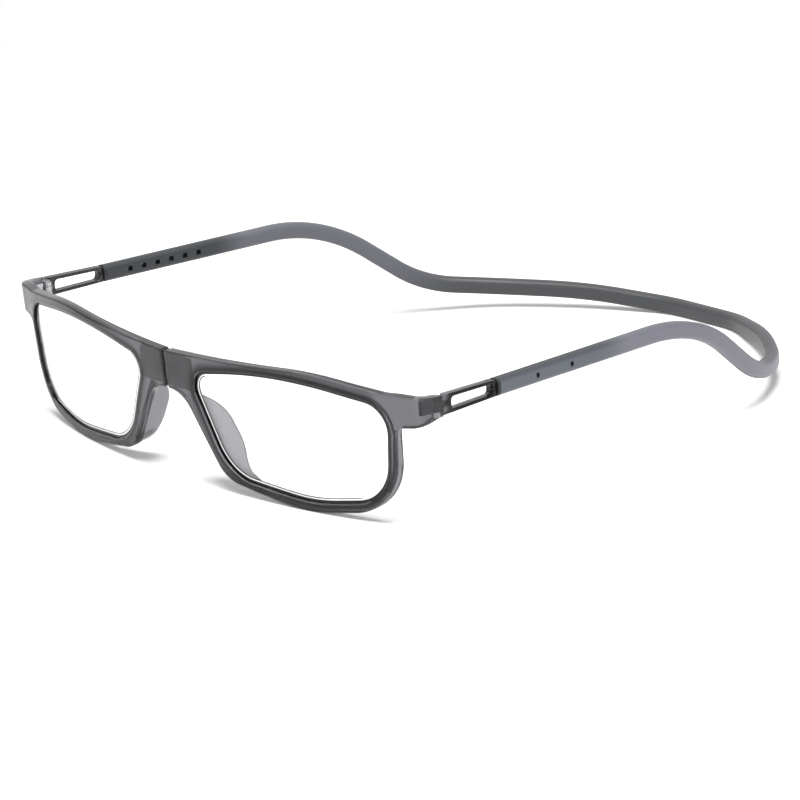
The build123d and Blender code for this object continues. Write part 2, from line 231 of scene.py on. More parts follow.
class PadSizes(bpy.types.PropertyGroup):
    """Sizes of the nose pads"""

    drop: size("Pad drop", 0.4, "Top of the pad below the bridge")
    bottom: size("Pad bottom", 1.2, "Bottom of the pad above the table")
    thickness: size("Pad thickness", 1.6, "Thickness of the pad")
    reach: size("Pad reach", 5.0, "Reach of the pad behind the front")
    splay: angle("Pad splay", 8.0, "Angle that the pad opens outwards")
    crown_height: size("Pad crown height", 15.0, "Height of the pad's upper corner")
    heel_height: size("Pad heel height", 8.0, "Height of the pad's lower corner")
    crown_radius: size("Pad crown radius", 8.5, "Radius of the pad's upper corner")
    heel_radius: size("Pad heel radius", 13.0, "Radius of the pad's lower corner")
    edge_radius: size("Pad edge radius", 0.6, "Rounding of the pad's edges")
    inset: size("Pad inset", 0.12, "Step from the rim's nasal side to the pad")


class ArmSizes(bpy.types.PropertyGroup):
    """Sizes of the temple arms and their tongues"""

    height: size("Arm height", 24.9, "Height of the arm's middle above the table")
    toe: angle("Toe", 4.1, "Angle that the arm turns in towards the back")
    offset: size("Arm offset", 1.3, "Arm's middle outside the hinge axis")
    thickness: size("Arm thickness", 2.2, "Thickness of the arm")
    front_height: size("Front height", 4.1, "Height of the arm at the hinge")
    rear_height: size("Rear height", 3.4, "Height of the arm at the band")
    length: size("Arm length", 14.4, "Length of the slotted frame")
    window_start: size("Window start", 2.4, "Start of the window behind the hinge")
    window_length: size("Window length", 11.0, "Length of the window")
    window_front_height: size("Window front height", 2.5, "Height of the window at its front")
    window_rear_height: size("Window rear height", 2.1, "Height of the window at its rear")
    window_corner_radius: size("Window corner radius", 0.8, "Radius of the window's corners")
    edge_radius: size("Edge radius", 0.3, "Rounding of the arm's edges")
    corner_radius: size("Corner radius", 0.36, "Radius of the arm's corners")
    tongue_length: size("Tongue length", 28.4, "Length of the tongue")
    tongue_height: size("Tongue height", 1.9, "Height of the tongue")
    tongue_thickness: size("Tongue thickness", 1.3, "Thickness of the tongue")
    tongue_root: size("Tongue root", 0.6, "Depth of the tongue's root in the frame")


class BandSizes(bpy.types.PropertyGroup):
    """Sizes of the neck band"""

    height: size("Band height", 3.6, "Height of the band's section")
    thickness: size("Band thickness", 3.0, "Thickness of the band's section")
    corner_radius: size("Corner radius", 1.1, "Radius of the section's corners")
    straight_length: size("Straight length", 56.0, "Length of the straight hollow end")
    loop_depth: size("Loop depth", 145.5, "Distance from the front to the back of the band")
    mouth_gap: size("Mouth gap", 0.75, "Gap at the mouth that the stop ring fills")
    bore_length: size("Bore length", 29.9, "Depth of the bore for the tongue")
    bore_clearance: size("Bore clearance", 0.12, "Clearance round the tongue")
    first_pin_hole: size("First pin hole", 10.2, "First pin hole behind the mouth")
    pin_hole_pitch: size("Pin hole pitch", 9.4, "Distance between the pin holes")
    pin_hole_count: IntProperty(name="Pin holes", description="Pin holes on each side", default=2)
    pin_hole_width: size("Pin hole width", 0.8, "Width of a pin hole")
    pin_hole_height: size("Pin hole height", 1.1, "Height of a pin hole")
    notch_count: IntProperty(name="Notches", description="Notches on each side", default=6)
    first_notch: size("First notch", 5.9, "First notch behind the mouth")
    notch_pitch: size("Notch pitch", 3.5, "Distance between the notches")
    notch_length: size("Notch length", 1.2, "Length of a notch along the band")
    notch_height: size("Notch height", 1.1, "Height of a notch")
    flex_reach: size("Flex reach", 34.0, "How far from the middle the band bends")


class Finishes(bpy.types.PropertyGroup):
    """Colours and finishes of all the pieces"""

    smoke: colour("Smoke", (0.36, 0.36, 0.375), "Plastic away from the lens openings")
    # Painted shade: the plastic round the lens openings and the arm windows is painted this dark; the same
    # colour darkens the random clouds
    smoke_shade_and_cloud: colour("Dark smoke", (0.003, 0.003, 0.0033), "Plastic at the lens openings")
    # The nose pads' own lighter plastic; also the painted highlight on the rounded front edge of an opening
    pad_smoke_and_highlight: colour("Light smoke", (0.93, 0.93, 0.95), "Plastic of the nose pads")
    smoke_depth: colour("Smoke depth", (0.50, 0.505, 0.53), "Colour that the plastic lets through")
    smoke_density: share("Smoke density", 800.0, "How fast the plastic darkens with depth")
    smoke_clear: share("Smoke clearness", 0.93, "Share of the light that passes the plastic")
    smoke_cloud: share("Smoke cloud", 0.08, "How much darker clouds show in the plastic")
    smoke_roughness: share("Smoke roughness", 0.05, "Roughness of the plastic")
    smoke_spread: share("Smoke spread", 0.05, "How much its roughness varies")
    # Reach of the painted shade round an opening, where it is full, and its shorter reach at the temples
    shade_reach: size("Shade reach", 3.0, "How far the dark tone reaches from an opening")
    shade_start: share("Shade start", 0.25, "Share of that reach where the tone is full")
    temple_shade: size("Temple shade", 1.8, "Reach of the dark tone at the temples")
    # Painted highlight on the rounded front edge of an opening
    edge_light: share("Edge light", 0.5, "Light tone on the rounded edge of an opening")
    lens: colour("Lens", (0.99, 0.995, 1.0), "Tint of the lens")
    lens_smear: share("Lens smear", 0.985, "Share of the tint where the lens is smeared")
    lens_roughness: share("Lens roughness", 0.004, "Roughness of the lens")
    lens_spread: share("Lens spread", 0.012, "How much its roughness varies")
    # Painted highlight of the bevel, and the painted shade of its dark line
    bevel: colour("Bevel", (0.95, 0.95, 0.95), "Ground bevel along the lens edge")
    bevel_shade: colour("Bevel shade", (0.04, 0.04, 0.045), "Dark line inside the bevel")
    bevel_roughness: share("Bevel roughness", 0.4, "Roughness of the bevel")
    bevel_spread: share("Bevel spread", 0.2, "How much its roughness varies")
    sleeve: colour("Sleeve", (0.10, 0.111, 0.133), "Colour of the band over the tongue")
    # Painted shade on the sleeve's inner and top faces; the same colour darkens the band's random clouds
    sleeve_shade_and_mottle: colour("Sleeve inner", (0.020, 0.023, 0.027), "Its inner and top faces")
    sleeve_full: size("Sleeve full", 27.0, "Length of the band that has the sleeve's colour")
    sleeve_end: size("Sleeve end", 37.0, "Where that colour has faded out")
    # Lit and shaded copies of the band's colour: the outer face lit, the inner face in painted shade,
    # deepest inside behind the neck
    band: colour("Band", (0.172, 0.171, 0.205), "Colour of the band's outer face")
    band_painted_shade: colour("Band inner", (0.10, 0.103, 0.12), "Colour of the band's inner face")
    neck_painted_shade: colour("Band back", (0.040, 0.041, 0.044), "Inner face behind the neck")
    # Where the painted shade deepens along the inner face
    back_start: size("Back start", 70.0, "Where the inner face starts to darken")
    back_full: size("Back full", 95.0, "Where it has the colour of the back")
    # Painted shade on the band's top
    top_shade: share("Top shade", 0.8, "How much the band's top takes its inner colour")
    band_mottle: share("Band mottle", 0.10, "How much darker clouds show in the band")
    band_roughness: share("Band roughness", 0.42, "Roughness of the band")
    band_spread: share("Band spread", 0.12, "How much its roughness varies")
    metal: colour("Metal", (0.45, 0.45, 0.46), "Colour of the hinge metal")
    metal_roughness: share("Metal roughness", 0.28, "Roughness of the hinge metal")
    magnet: colour("Magnet", (0.62, 0.62, 0.70), "Colour of the magnets")
    magnet_roughness: share("Magnet roughness", 0.34, "Roughness of the magnets")
    metal_worn: share("Worn metal", 0.8, "Share of its colour that worn metal keeps")
    metal_spread: share("Metal spread", 0.12, "How much the metal's roughness varies")
    insert: colour("Insert", (0.03, 0.03, 0.037), "Colour of the magnet holders")
    insert_cover: share("Insert cover", 0.6, "How much the magnet holders hide")
    insert_roughness: share("Insert roughness", 0.5, "Roughness of the magnet holders")
    trim: colour("Trim", (0.012, 0.012, 0.014), "Colour of the stop rings")
    trim_roughness: share("Trim roughness", 0.55, "Roughness of the stop rings")
    speckle: share("Speckle", 0.85, "Share of the colour in the dark specks of plain plastic")
    speckle_spread: share("Speckle spread", 0.1, "How much its roughness varies")
    grain: size("Grain", 0.35, "Size of the moulded grain")
    grain_depth: size("Grain depth", 0.02, "Depth of the moulded grain")
    speckle_depth: size("Speckle depth", 0.015, "Depth of the specks of plain plastic")
    scratch_depth: size("Scratch depth", 0.01, "Depth of the fine lines in metal")


class StageSettings(bpy.types.PropertyGroup):
    """Floor, light and camera"""

    floor_reach: size("Floor reach", 12000.0, "Half width of the floor")
    floor_colour: colour("Floor colour", (0.9, 0.9, 0.9), "Colour of the floor")
    floor_fade: size("Floor fade", 200.0, "Where the floor starts to turn plain white")
    floor_glow: share("Floor glow", 0.12, "Light that the floor adds where it is seen")
    target: FloatVectorProperty(
        name="Target",
        description="Point that the camera looks at",
        default=(14.55 * MM, -24.93 * MM, 8.03 * MM),
        subtype="TRANSLATION",
    )
    distance: size("Distance", 1058.4, "Distance from the camera to its target")
    azimuth: angle("Azimuth", 52.81, "Turn of the camera round the glasses")
    elevation: angle("Elevation", 16.71, "Height of the camera above the horizon")
    roll: angle("Roll", -4.06, "Roll of the camera")
    focal_length: share("Focal length", 229.9, "Focal length in millimetres")
    world_strength: share("World strength", 0.36, "Strength of the even light from all round")


class GlassesSettings(bpy.types.PropertyGroup):
    """Everything that can be set"""

    front: PointerProperty(type=FrontSizes)
    pad: PointerProperty(type=PadSizes)
    arm: PointerProperty(type=ArmSizes)
    band: PointerProperty(type=BandSizes)
    finish: PointerProperty(type=Finishes)
    stage: PointerProperty(type=StageSettings)


# Outlines


def clamped(value):
    """A number held between 0 and 1."""
    return max(0, min(1, value))


def bow(radius, across):
    """Depth of a circular arc at a place across from its middle."""
    return radius - sqrt(radius**2 - across**2)


def rounded(points, radii, closed=True, step=CORNER_STEP):
    """A polyline with each corner rounded to its radius."""
    path = []
    count = len(points)
    for index, (corner, radius) in enumerate(zip(points, radii)):
        end_point = not closed and index in (0, count - 1)
        if end_point or not radius:
            path.append(Vector(corner))
            continue
        before = (Vector(points[index - 1]) - Vector(corner)).normalized()
        after = (Vector(points[(index + 1) % count]) - Vector(corner)).normalized()
        half = before.angle(after) / 2
        start = Vector(corner) + before * radius / tan(half)
        centre = Vector(corner) + (before + after).normalized() * radius / sin(half)
        turn = pi - 2 * half
        steps = max(FEWEST_CORNER_STEPS, ceil(radius * turn / step))
        for stop in range(steps + 1):
            swing = turn * stop / steps
            path.append(centre + (start - centre) * cos(swing) - before * radius * sin(swing))
    return path


def filled_in(path, step, closed=True):
    """A path with points added so that no run is longer than a step."""
    dense = []
    ends = path[1:] + path[:1] if closed else path[1:]
    for start, end in zip(path, ends):
        pieces = max(1, ceil((end - start).length / step))
        dense += [start.lerp(end, piece / pieces) for piece in range(pieces)]
    if not closed:
        dense.append(path[-1])
    return dense


def lengths_along(path):
    """Length from the start of a path to each of its points."""
    lengths = [0]
    for before, after in zip(path, path[1:]):
        lengths.append(lengths[-1] + (after - before).length)
    return lengths


def shifted(loop, distance):
    """A loop of flat points moved to the left of its direction."""
    moved = []
    for before, point, after in zip(loop[-1:] + loop[:-1], loop, loop[1:] + loop[:1]):
        arrive = (point - before).normalized()
        leave = (after - point).normalized()
        left_in = Vector((-arrive.y, arrive.x))
        left_out = Vector((-leave.y, leave.x))
        middle = (left_in + left_out).normalized()
        moved.append(point + middle * distance / max(LEAST_MITRE, middle.dot(left_in)))
    return moved


def within(point, loop):
    """Whether a flat point lies inside a loop."""
    crossings = 0
    for start, end in zip(loop, loop[1:] + loop[:1]):
        if (start.y > point.y) != (end.y > point.y):
            reach = start.x + (end.x - start.x) * (point.y - start.y) / (end.y - start.y)
            crossings += reach > point.x
    return crossings % 2 == 1


def edge_rows(radius):
    """Rows of a rounded edge from a face to the wall: inset, and depth below the face."""
    swings = [pi / 2 * step / EDGE_STEPS for step in range(EDGE_STEPS + 1)]
    return [(radius * (1 - sin(swing)), radius * (1 - cos(swing))) for swing in swings]


def wall_rows(radius, back_radius=None, groove=None):
    """Rows of a wall from front face to back face: inset, share of the depth, offset and mark."""
    front = [(inset, 0, depth, 0) for inset, depth in edge_rows(radius)]
    back = [(inset, 1, -depth, 0) for inset, depth in reversed(edge_rows(back_radius or radius))]
    middle = []
    if groove:
        reach, start, end = groove
        # The front rounding of a grooved opening is marked 1, for a painted highlight
        front[1:-1] = [(inset, face, depth, 1) for inset, face, depth, _ in front[1:-1]]
        middle = [(0, 0, start, 0), (-reach, 0, start, 0), (-reach, 0, end, 0), (0, 0, end, 0)]
    return front + middle + back


# Meshes


def wall(mesh, loop, rows, inward, place):
    """Adds a wall along a loop, with a ring of vertices for each row, and returns its end rings."""
    marks = mesh.verts.layers.float["mark"]
    rings = []
    for inset, depth_share, offset, mark in rows:
        ring = shifted(loop, inset * inward)
        vertices = [mesh.verts.new(place(point, depth_share, offset)) for point in ring]
        for vertex in vertices:
            vertex[marks] = mark
        rings.append(list(zip(ring, vertices)))
    for ring, below in zip(rings, rings[1:]):
        for index in range(len(ring)):
            after = (index + 1) % len(ring)
            corners = (ring[index], ring[after], below[after], below[index])
            mesh.faces.new([vertex for _, vertex in corners])
    return rings[0], rings[-1]


def cap(mesh, rings, depth_share, place, grid):
    """Adds a face inside its first ring and outside the second, divided by a grid of points."""
    flat = [point for ring in rings for point, _ in ring]
    known = [vertex for ring in rings for _, vertex in ring]
    hole = [point for ring in rings[1:] for point, _ in ring]
    edges = []
    first = 0
    for ring in rings:
        count = len(ring)
        edges += [(first + index, first + (index + 1) % count) for index in range(count)]
        first += count
    low_x, high_x = min(point.x for point in flat), max(point.x for point in flat)
    low_y, high_y = min(point.y for point in flat), max(point.y for point in flat)
    flat += [
        Vector((low_x + grid * (column + 0.5), low_y + grid * (line + 0.5)))
        for column in range(ceil((high_x - low_x) / grid))
        for line in range(ceil((high_y - low_y) / grid))
    ]
    points, _, faces, origins, _, _ = delaunay_2d_cdt(flat, edges, [], 1, TINY)
    vertices = []
    for point, origin in zip(points, origins):
        if origin and origin[0] < len(known):
            vertices.append(known[origin[0]])
        else:
            vertices.append(mesh.verts.new(place(Vector(point), depth_share, 0)))
    for face in faces:
        middle = sum((points[index] for index in face), Vector((0, 0))) / len(face)
        if not within(middle, hole):
            mesh.faces.new([vertices[index] for index in face])


def slab(outer, opening, place, grid, outer_rows, opening_rows=()):
    """A closed plate between a front and a back face, with rounded walls and an opening."""
    mesh = bmesh.new()
    mesh.verts.layers.float.new("mark")
    walls = [wall(mesh, outer, outer_rows, 1, place)]
    if opening:
        walls.append(wall(mesh, opening, opening_rows, -1, place))
    for depth_share, rings in enumerate(zip(*walls)):
        cap(mesh, rings, depth_share, place, grid)
    loose = [vertex for vertex in mesh.verts if not vertex.link_faces]
    bmesh.ops.delete(mesh, geom=loose, context="VERTS")
    bmesh.ops.recalc_face_normals(mesh, faces=mesh.faces)
    return mesh


def box_mesh(origin, directions, low, high):
    """A closed box between two corners, given along three directions."""
    mesh = bmesh.new()
    bmesh.ops.create_cube(mesh, size=1)
    for vertex in mesh.verts:
        place = Vector(origin)
        for axis, direction in enumerate(directions):
            place += direction * (low[axis] if vertex.co[axis] < 0 else high[axis])
        vertex.co = place
    bmesh.ops.recalc_face_normals(mesh, faces=mesh.faces)
    return mesh


def clear_hinge(piece, shape, side):
    """Cuts the heel, or the arm, off flat at the hinge, and makes room for the knuckles."""
    arm, radius = shape.arm, shape.sizes.pocket_radius
    start = Vector((shape.hinge_x, shape.hinge_y - side * shape.sizes.butt_clearance, arm.height))
    reach = arm.front_height
    axes = (Vector((1, 0, 0)), Vector((0, side, 0)), UP)
    butt = box_mesh(start, axes, (-reach, 0, -reach), (reach, reach, reach))
    carve(piece, new_object("butt", butt), "DIFFERENCE")
    top = arm.height + reach
    pocket = bmesh.new()
    bmesh.ops.create_cone(
        pocket,
        cap_ends=True,
        segments=POST_SIDES,
        radius1=radius,
        radius2=radius,
        depth=top,
        matrix=Matrix.Translation((shape.hinge_x, shape.hinge_y, top / 2)),
    )
    carve(piece, new_object("pocket", pocket), "DIFFERENCE")


def store(data, name, values):
    """Keeps a number for each vertex of a mesh as an attribute."""
    attribute = data.attributes.new(name, "FLOAT", "POINT")
    attribute.data.foreach_set("value", values)


def store_distance(piece, points, reach):
    """Keeps each vertex's distance from a row of points, over a reach, as an attribute."""
    tree = KDTree(len(points))
    for index, point in enumerate(points):
        tree.insert(point, index)
    tree.balance()
    places = [vertex.co for vertex in piece.data.vertices]
    store(piece.data, "from_opening", [tree.find(place)[2] / reach(place) for place in places])


def fade_marks(piece, shape):
    """Keeps the painted highlight and painted shade marks round a lens opening on its nasal and lower sides
    alone.
    """
    sizes = shape.sizes
    for item, vertex in zip(piece.data.attributes["mark"].data, piece.data.vertices):
        across = (vertex.co.x - shape.opening_x) / sizes.lens_width
        left = sizes.bevel_end - sizes.bevel_lean * across - vertex.co.z / shape.height
        item.value *= clamped(left / sizes.bevel_fade)


def placed(name, data):
    """A new object in the scene for a mesh, lamp or camera."""
    item = bpy.data.objects.new(name, data)
    bpy.context.scene.collection.objects.link(item)
    return item


def new_object(name, mesh):
    """An object in the scene for a mesh that was built in bmesh."""
    data = bpy.data.meshes.new(name)
    mesh.to_mesh(data)
    mesh.free()
    return placed(name, data)


def dress(piece, material):
    """Gives a piece one material."""
    piece.data.materials.clear()
    piece.data.materials.append(material)


def settle(piece):
    """Applies a piece's modifiers to its mesh."""
    bpy.context.view_layer.update()
    depsgraph = bpy.context.evaluated_depsgraph_get()
    data = bpy.data.meshes.new_from_object(piece.evaluated_get(depsgraph))
    piece.modifiers.clear()
    piece.data = data


def carve(piece, tool, operation):
    """Joins a tool to a piece or cuts it out, and removes the tool."""
    modifier = piece.modifiers.new(operation, "BOOLEAN")
    modifier.operation = operation
    modifier.solver = "EXACT"
    modifier.object = tool
    settle(piece)
    bpy.data.objects.remove(tool)


def finish_piece(piece, body, material, replaced):
    """Shades a finished piece, and sets its body, material and replaced node."""
    piece.data.shade_smooth()
    piece.data.set_sharp_from_angle(angle=CREASE)
    modifier = piece.modifiers.new("Even shading", "WEIGHTED_NORMAL")
    modifier.keep_sharp = True
    settle(piece)
    piece.data.name = piece.name
    dress(piece, material)
    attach(piece, body)
    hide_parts(replaced)


def finish_pair(left, name, body, material, replaced):
    """Finishes a left piece and its mirror image, a piece of the same name on the right."""
    data = left.data.copy()
    data.transform(Matrix.Scale(-1, 4, Vector((1, 0, 0))))
    data.flip_normals()
    for side, piece in zip(SIDES, (left, placed(f"{name}_right", data))):
        finish_piece(piece, f"{body}_{side}", material, f"{replaced}_{side}")


# The shape of the front


class FrontShape:
    """Where the front's flat outline lies in space, and the outlines themselves."""

    def __init__(self, settings):
        sizes, arm = settings.front, settings.arm
        self.sizes, self.arm = sizes, arm
        self.opening_x = sizes.lens_spacing / 2
        self.end_x = self.opening_x + sizes.lens_width
        self.half_width = self.end_x + sizes.temple_wall
        self.height = sizes.bottom_wall + sizes.lens_height + sizes.top_wall
        self.bridge_top = self.height - sizes.bridge_drop
        self.bridge_bottom = self.bridge_top - sizes.bridge_height
        self.endpiece_top = arm.height + sizes.endpiece_rise
        self.endpiece_bottom = self.endpiece_top - sizes.endpiece_height
        self.hinge_x = self.end_x + sizes.hinge_reach
        self.outer_x = self.hinge_x + sizes.endpiece_overhang
        self.front_y = (self.bridge_top * sin(sizes.tilt) - settings.band.loop_depth) / 2
        self.hinge_y = self.front_y + sizes.hinge_set_back
        self.butt_y = self.hinge_y - sizes.butt_clearance
        self.heel_low = arm.height - arm.front_height / 2
        self.heel_high = arm.height + arm.front_height / 2
        self.back = Vector((0, cos(sizes.tilt), sin(sizes.tilt)))
        self.up = Vector((0, -sin(sizes.tilt), cos(sizes.tilt)))
        self.origin = Vector((0, self.front_y, 0))
        radius = sizes.radius
        self.slope = asin(self.end_x / radius)
        self.arc_end = radius * self.slope
        self.end_depth = bow(radius, self.end_x)
        corner_depth = self.end_depth + (self.outer_x - self.end_x) * tan(self.slope)
        self.turn = pi / 2 - self.slope
        reach = sizes.endpiece_radius * tan(self.turn / 2)
        run = (self.outer_x - self.end_x) / cos(self.slope)
        self.turn_start = self.arc_end + run - reach
        self.turn_end = self.turn_start + sizes.endpiece_radius * self.turn
        self.turn_x = self.outer_x - sizes.endpiece_radius
        self.turn_depth = corner_depth + reach

    def plan(self, along):
        """Plan position, turn of the depth direction and thickness at a length along the front."""
        sizes = self.sizes
        radius = sizes.radius
        if along <= self.arc_end:
            x = radius * sin(along / radius)
            depth = bow(radius, x)
            back_depth = radius - sqrt((radius - sizes.depth) ** 2 - x**2)
            return x, depth, 0, back_depth - depth
        back_end = radius - sqrt((radius - sizes.depth) ** 2 - self.end_x**2)
        end_thickness = back_end - self.end_depth
        if along <= self.turn_start:
            part = (along - self.arc_end) / (self.turn_start - self.arc_end)
            run = along - self.arc_end
            x = self.end_x + run * cos(self.slope)
            depth = self.end_depth + run * sin(self.slope)
            thickness = end_thickness + (sizes.depth - end_thickness) * part
            return x, depth, self.slope * part, thickness
        if along <= self.turn_end:
            part = (along - self.turn_start) / (self.turn_end - self.turn_start)
            swing = self.slope + self.turn * part
            x = self.turn_x + sizes.endpiece_radius * sin(swing)
            depth = self.turn_depth - sizes.endpiece_radius * cos(swing)
            thickness = sizes.depth + (sizes.endpiece_thickness - sizes.depth) * part
            return x, depth, swing, thickness
        depth = self.turn_depth + along - self.turn_end
        return self.outer_x, depth, pi / 2, sizes.endpiece_thickness

    def along(self, x):
        """Length along the front at a place across."""
        if x <= self.end_x:
            return self.sizes.radius * asin(x / self.sizes.radius)
        return self.arc_end + (x - self.end_x) / cos(self.slope)

    def along_heel(self, y, height):
        """Length along the front at a place on the heel."""
        depth = (y - self.front_y + height * sin(self.sizes.tilt)) / cos(self.sizes.tilt)
        return self.turn_end + depth - self.turn_depth

    def level(self, height, y):
        """Height up the leaning front of a level above the floor."""
        lean = self.sizes.tilt
        return (height - (y - self.front_y) * tan(lean)) * cos(lean)

    def space(self, x, depth, height):
        """Point of space from places across, back and up the leaning front."""
        point = self.origin + Vector((x, 0, 0)) + self.back * depth + self.up * height
        point.z = max(0, point.z)
        return point

    def place(self, point, depth_share, offset):
        """Point of space for a point of the flat outline at a depth."""
        x, depth, swing, thickness = self.plan(point.x)
        reach = thickness * depth_share + offset
        return self.space(x - sin(swing) * reach, depth + cos(swing) * reach, point.y)

    def nasal(self, height):
        """Place across of the nasal side of the rim at a height."""
        top = NASAL_TOP_SHARES[0] * self.half_width, NASAL_TOP_SHARES[1] * self.height
        foot_x, foot_z, _ = LOWER_FRONT_SHARES[0]
        foot = foot_x * self.half_width, foot_z * self.height
        return top[0] + (foot[0] - top[0]) * (height - top[1]) / (foot[1] - top[1])

    def opening_loop(self, growth):
        """Outline of a lens opening, grown all round."""
        sizes = self.sizes
        corners, radii = [], []
        for across, up, radius in reversed(OPENING_SHARES):
            x = self.opening_x - growth + (sizes.lens_width + 2 * growth) * across
            z = sizes.bottom_wall - growth + (sizes.lens_height + 2 * growth) * up
            corners.append((self.along(x), z))
            radii.append(sizes.lens_height * radius + growth)
        return filled_in(rounded(corners, radii), OUTLINE_STEP)

    def heel_edge(self, start, start_height, end_height):
        """Points of the heel's edge, level at a height above the floor at the butt."""
        sizes = self.sizes
        end_y = self.butt_y + sizes.edge_radius + sizes.back_radius
        heel_start = self.butt_y - sizes.heel_length
        end = self.along_heel(end_y, end_height)
        first_level = start_height / cos(sizes.tilt) + (heel_start - self.front_y) * tan(sizes.tilt)
        points = []
        for stop in range(1, HEEL_STEPS + 1):
            along = start + (end - start) * stop / HEEL_STEPS
            _, depth, _, _ = self.plan(along)
            y = self.front_y + depth * cos(sizes.tilt) - start_height * sin(sizes.tilt)
            part = clamped((y - heel_start) / sizes.heel_length)
            points.append((along, self.level(first_level + (end_height - first_level) * part, y)))
        return points

    def rim_loop(self):
        """Outline of half the front with its half bridge and its endpiece."""
        sizes = self.sizes
        seam = sizes.seam_gap / 2
        corners = [(seam, self.bridge_bottom), (self.nasal(self.bridge_bottom), self.bridge_bottom)]
        radii = [sizes.corner_radius, sizes.bridge_neck_radius]
        for across, up, radius in LOWER_FRONT_SHARES:
            corners.append((self.along(self.half_width * across), self.height * up))
            radii.append(sizes.lens_height * radius)
        low_x, low_height = corners[-1]
        high_x = self.along(self.half_width * TEMPLE_TOP_SHARES[0])
        high_height = self.height * TEMPLE_TOP_SHARES[1]
        part = (self.endpiece_bottom - low_height) / (high_height - low_height)
        notch = low_x + (high_x - low_x) * part
        brow_end = self.along(self.half_width * BROW_END_SHARE)
        lower = self.heel_edge(notch, self.endpiece_bottom, self.heel_low)
        upper = self.heel_edge(brow_end, self.endpiece_top, self.heel_high)
        corners += [(notch, self.endpiece_bottom), *lower, *reversed(upper)]
        heel_radii = [0] * (len(lower) - 1) + [sizes.corner_radius]
        radii += [sizes.notch_radius, *heel_radii, *reversed(heel_radii)]
        corners += [
            (brow_end, self.endpiece_top),
            (self.along(self.half_width * BROW_SHARES[0]), self.height * BROW_SHARES[1]),
            (seam, self.bridge_top),
        ]
        radii += [sizes.brow_end_radius, sizes.lens_height * BROW_SHARES[2], sizes.corner_radius]
        return filled_in(rounded(corners, radii), OUTLINE_STEP)

    def nasal_path(self):
        """Nasal side of the rim from the bridge down and round the lower corner."""
        corners = [(self.nasal(self.bridge_bottom), self.bridge_bottom)]
        corners += [(x * self.half_width, z * self.height) for x, z, _ in LOWER_FRONT_SHARES[:2]]
        radii = [0, LOWER_FRONT_SHARES[0][2] * self.sizes.lens_height, 0]
        return filled_in(rounded(corners, radii, closed=False), NASAL_STEP, closed=False)

    def arm_axes(self):
        """Where the left arm starts, and its backward and outward directions."""
        arm = self.arm
        back = Vector((-sin(arm.toe), cos(arm.toe), 0))
        out = Vector((cos(arm.toe), sin(arm.toe), 0))
        start = Vector((self.hinge_x + arm.offset, 2 * self.hinge_y - self.butt_y, arm.height))
        return start, back, out


# Node writing


class Signal:
    """One output of a node, whose arithmetic adds Math nodes."""

    def __init__(self, nodes, socket):
        self.nodes = nodes
        self.socket = socket

    def output(self, name):
        """Another output of the same node."""
        return Signal(self.nodes, self.socket.node.outputs[name])

    def __add__(self, other):
        return self.nodes.math("ADD", self, other)

    def __sub__(self, other):
        return self.nodes.math("SUBTRACT", self, other)

    def __rsub__(self, other):
        return self.nodes.math("SUBTRACT", other, self)

    def __mul__(self, other):
        return self.nodes.math("MULTIPLY", self, other)

    __radd__ = __add__
    __rmul__ = __mul__

    def step(self, low, high):
        """0 below low, 1 above high and smooth between."""
        return self.nodes.node(
            "ShaderNodeMapRange",
            {"interpolation_type": "SMOOTHSTEP"},
            {"Value": self, "From Min": low, "From Max": high},
            "Result",
        )


class Nodes:
    """Writes the nodes of one tree."""

    def __init__(self, tree):
        self.tree = tree
        tree.nodes.clear()

    def add(self, kind, settings, values):
        """Adds a node with its settings and the values or links of its sockets."""
        node = self.tree.nodes.new(kind)
        for key, value in settings.items():
            setattr(node, key, value)
        for key, value in values.items():
            if isinstance(value, Signal):
                self.tree.links.new(value.socket, node.inputs[key])
            else:
                node.inputs[key].default_value = value
        return node

    def node(self, kind, settings=None, values=None, output=0):
        """One output of a new node."""
        return Signal(self, self.add(kind, settings or {}, values or {}).outputs[output])

    def math(self, operation, *values):
        """Result of a Math node."""
        return self.node("ShaderNodeMath", {"operation": operation}, dict(enumerate(values)))

    def seen(self):
        """1 for what the camera sees, be it straight, through glass or as a reflection."""
        camera = self.node("ShaderNodeLightPath", output="Is Camera Ray")
        clear, gloss = camera.output("Is Transmission Ray"), camera.output("Is Glossy Ray")
        return self.math("MAXIMUM", camera, self.math("MAXIMUM", clear, gloss))


class Paint(Nodes):
    """Writes the nodes of one material."""

    def __init__(self, name):
        self.material = bpy.data.materials.new(name)
        self.material.use_nodes = True
        super().__init__(self.material.node_tree)

    def place(self):
        """Place on the piece, in metres."""
        return self.node("ShaderNodeTexCoord", output="Object")

    def attribute(self, name):
        """A number that the piece's mesh holds at each point."""
        return self.node("ShaderNodeAttribute", {"attribute_name": name}, output="Fac")

    def noise(self, scale, detail, roughness=0.5):
        """Soft noise from 0 to 1, with a scale of so many lumps to a metre."""
        values = {"Vector": self.place(), "Scale": scale, "Detail": detail, "Roughness": roughness}
        return self.node("ShaderNodeTexNoise", {}, values)

    def mix(self, factor, first, second):
        """A colour between two colours."""
        colours = [c if isinstance(c, Signal) else (*c, 1) for c in (first, second)]
        # A Mix node's sockets for colours come after those for numbers and vectors
        values = {0: factor, 6: colours[0], 7: colours[1]}
        return self.node("ShaderNodeMix", {"data_type": "RGBA"}, values, 2)

    def bump(self, height, strength, distance):
        """Normal of a surface with a relief."""
        values = {"Height": height, "Strength": strength, "Distance": distance}
        return self.node("ShaderNodeBump", {}, values, "Normal")

    def principled(self, values):
        """A Principled shader."""
        return self.node("ShaderNodeBsdfPrincipled", {}, values, "BSDF")

    def finish(self, **shaders):
        """Ends the material in a shader for its surface, and for what fills it."""
        self.add("ShaderNodeOutputMaterial", {}, shaders)
        return self.material

    def surface(self, values):
        """Ends the material in a Principled shader alone."""
        return self.finish(Surface=self.principled(values))


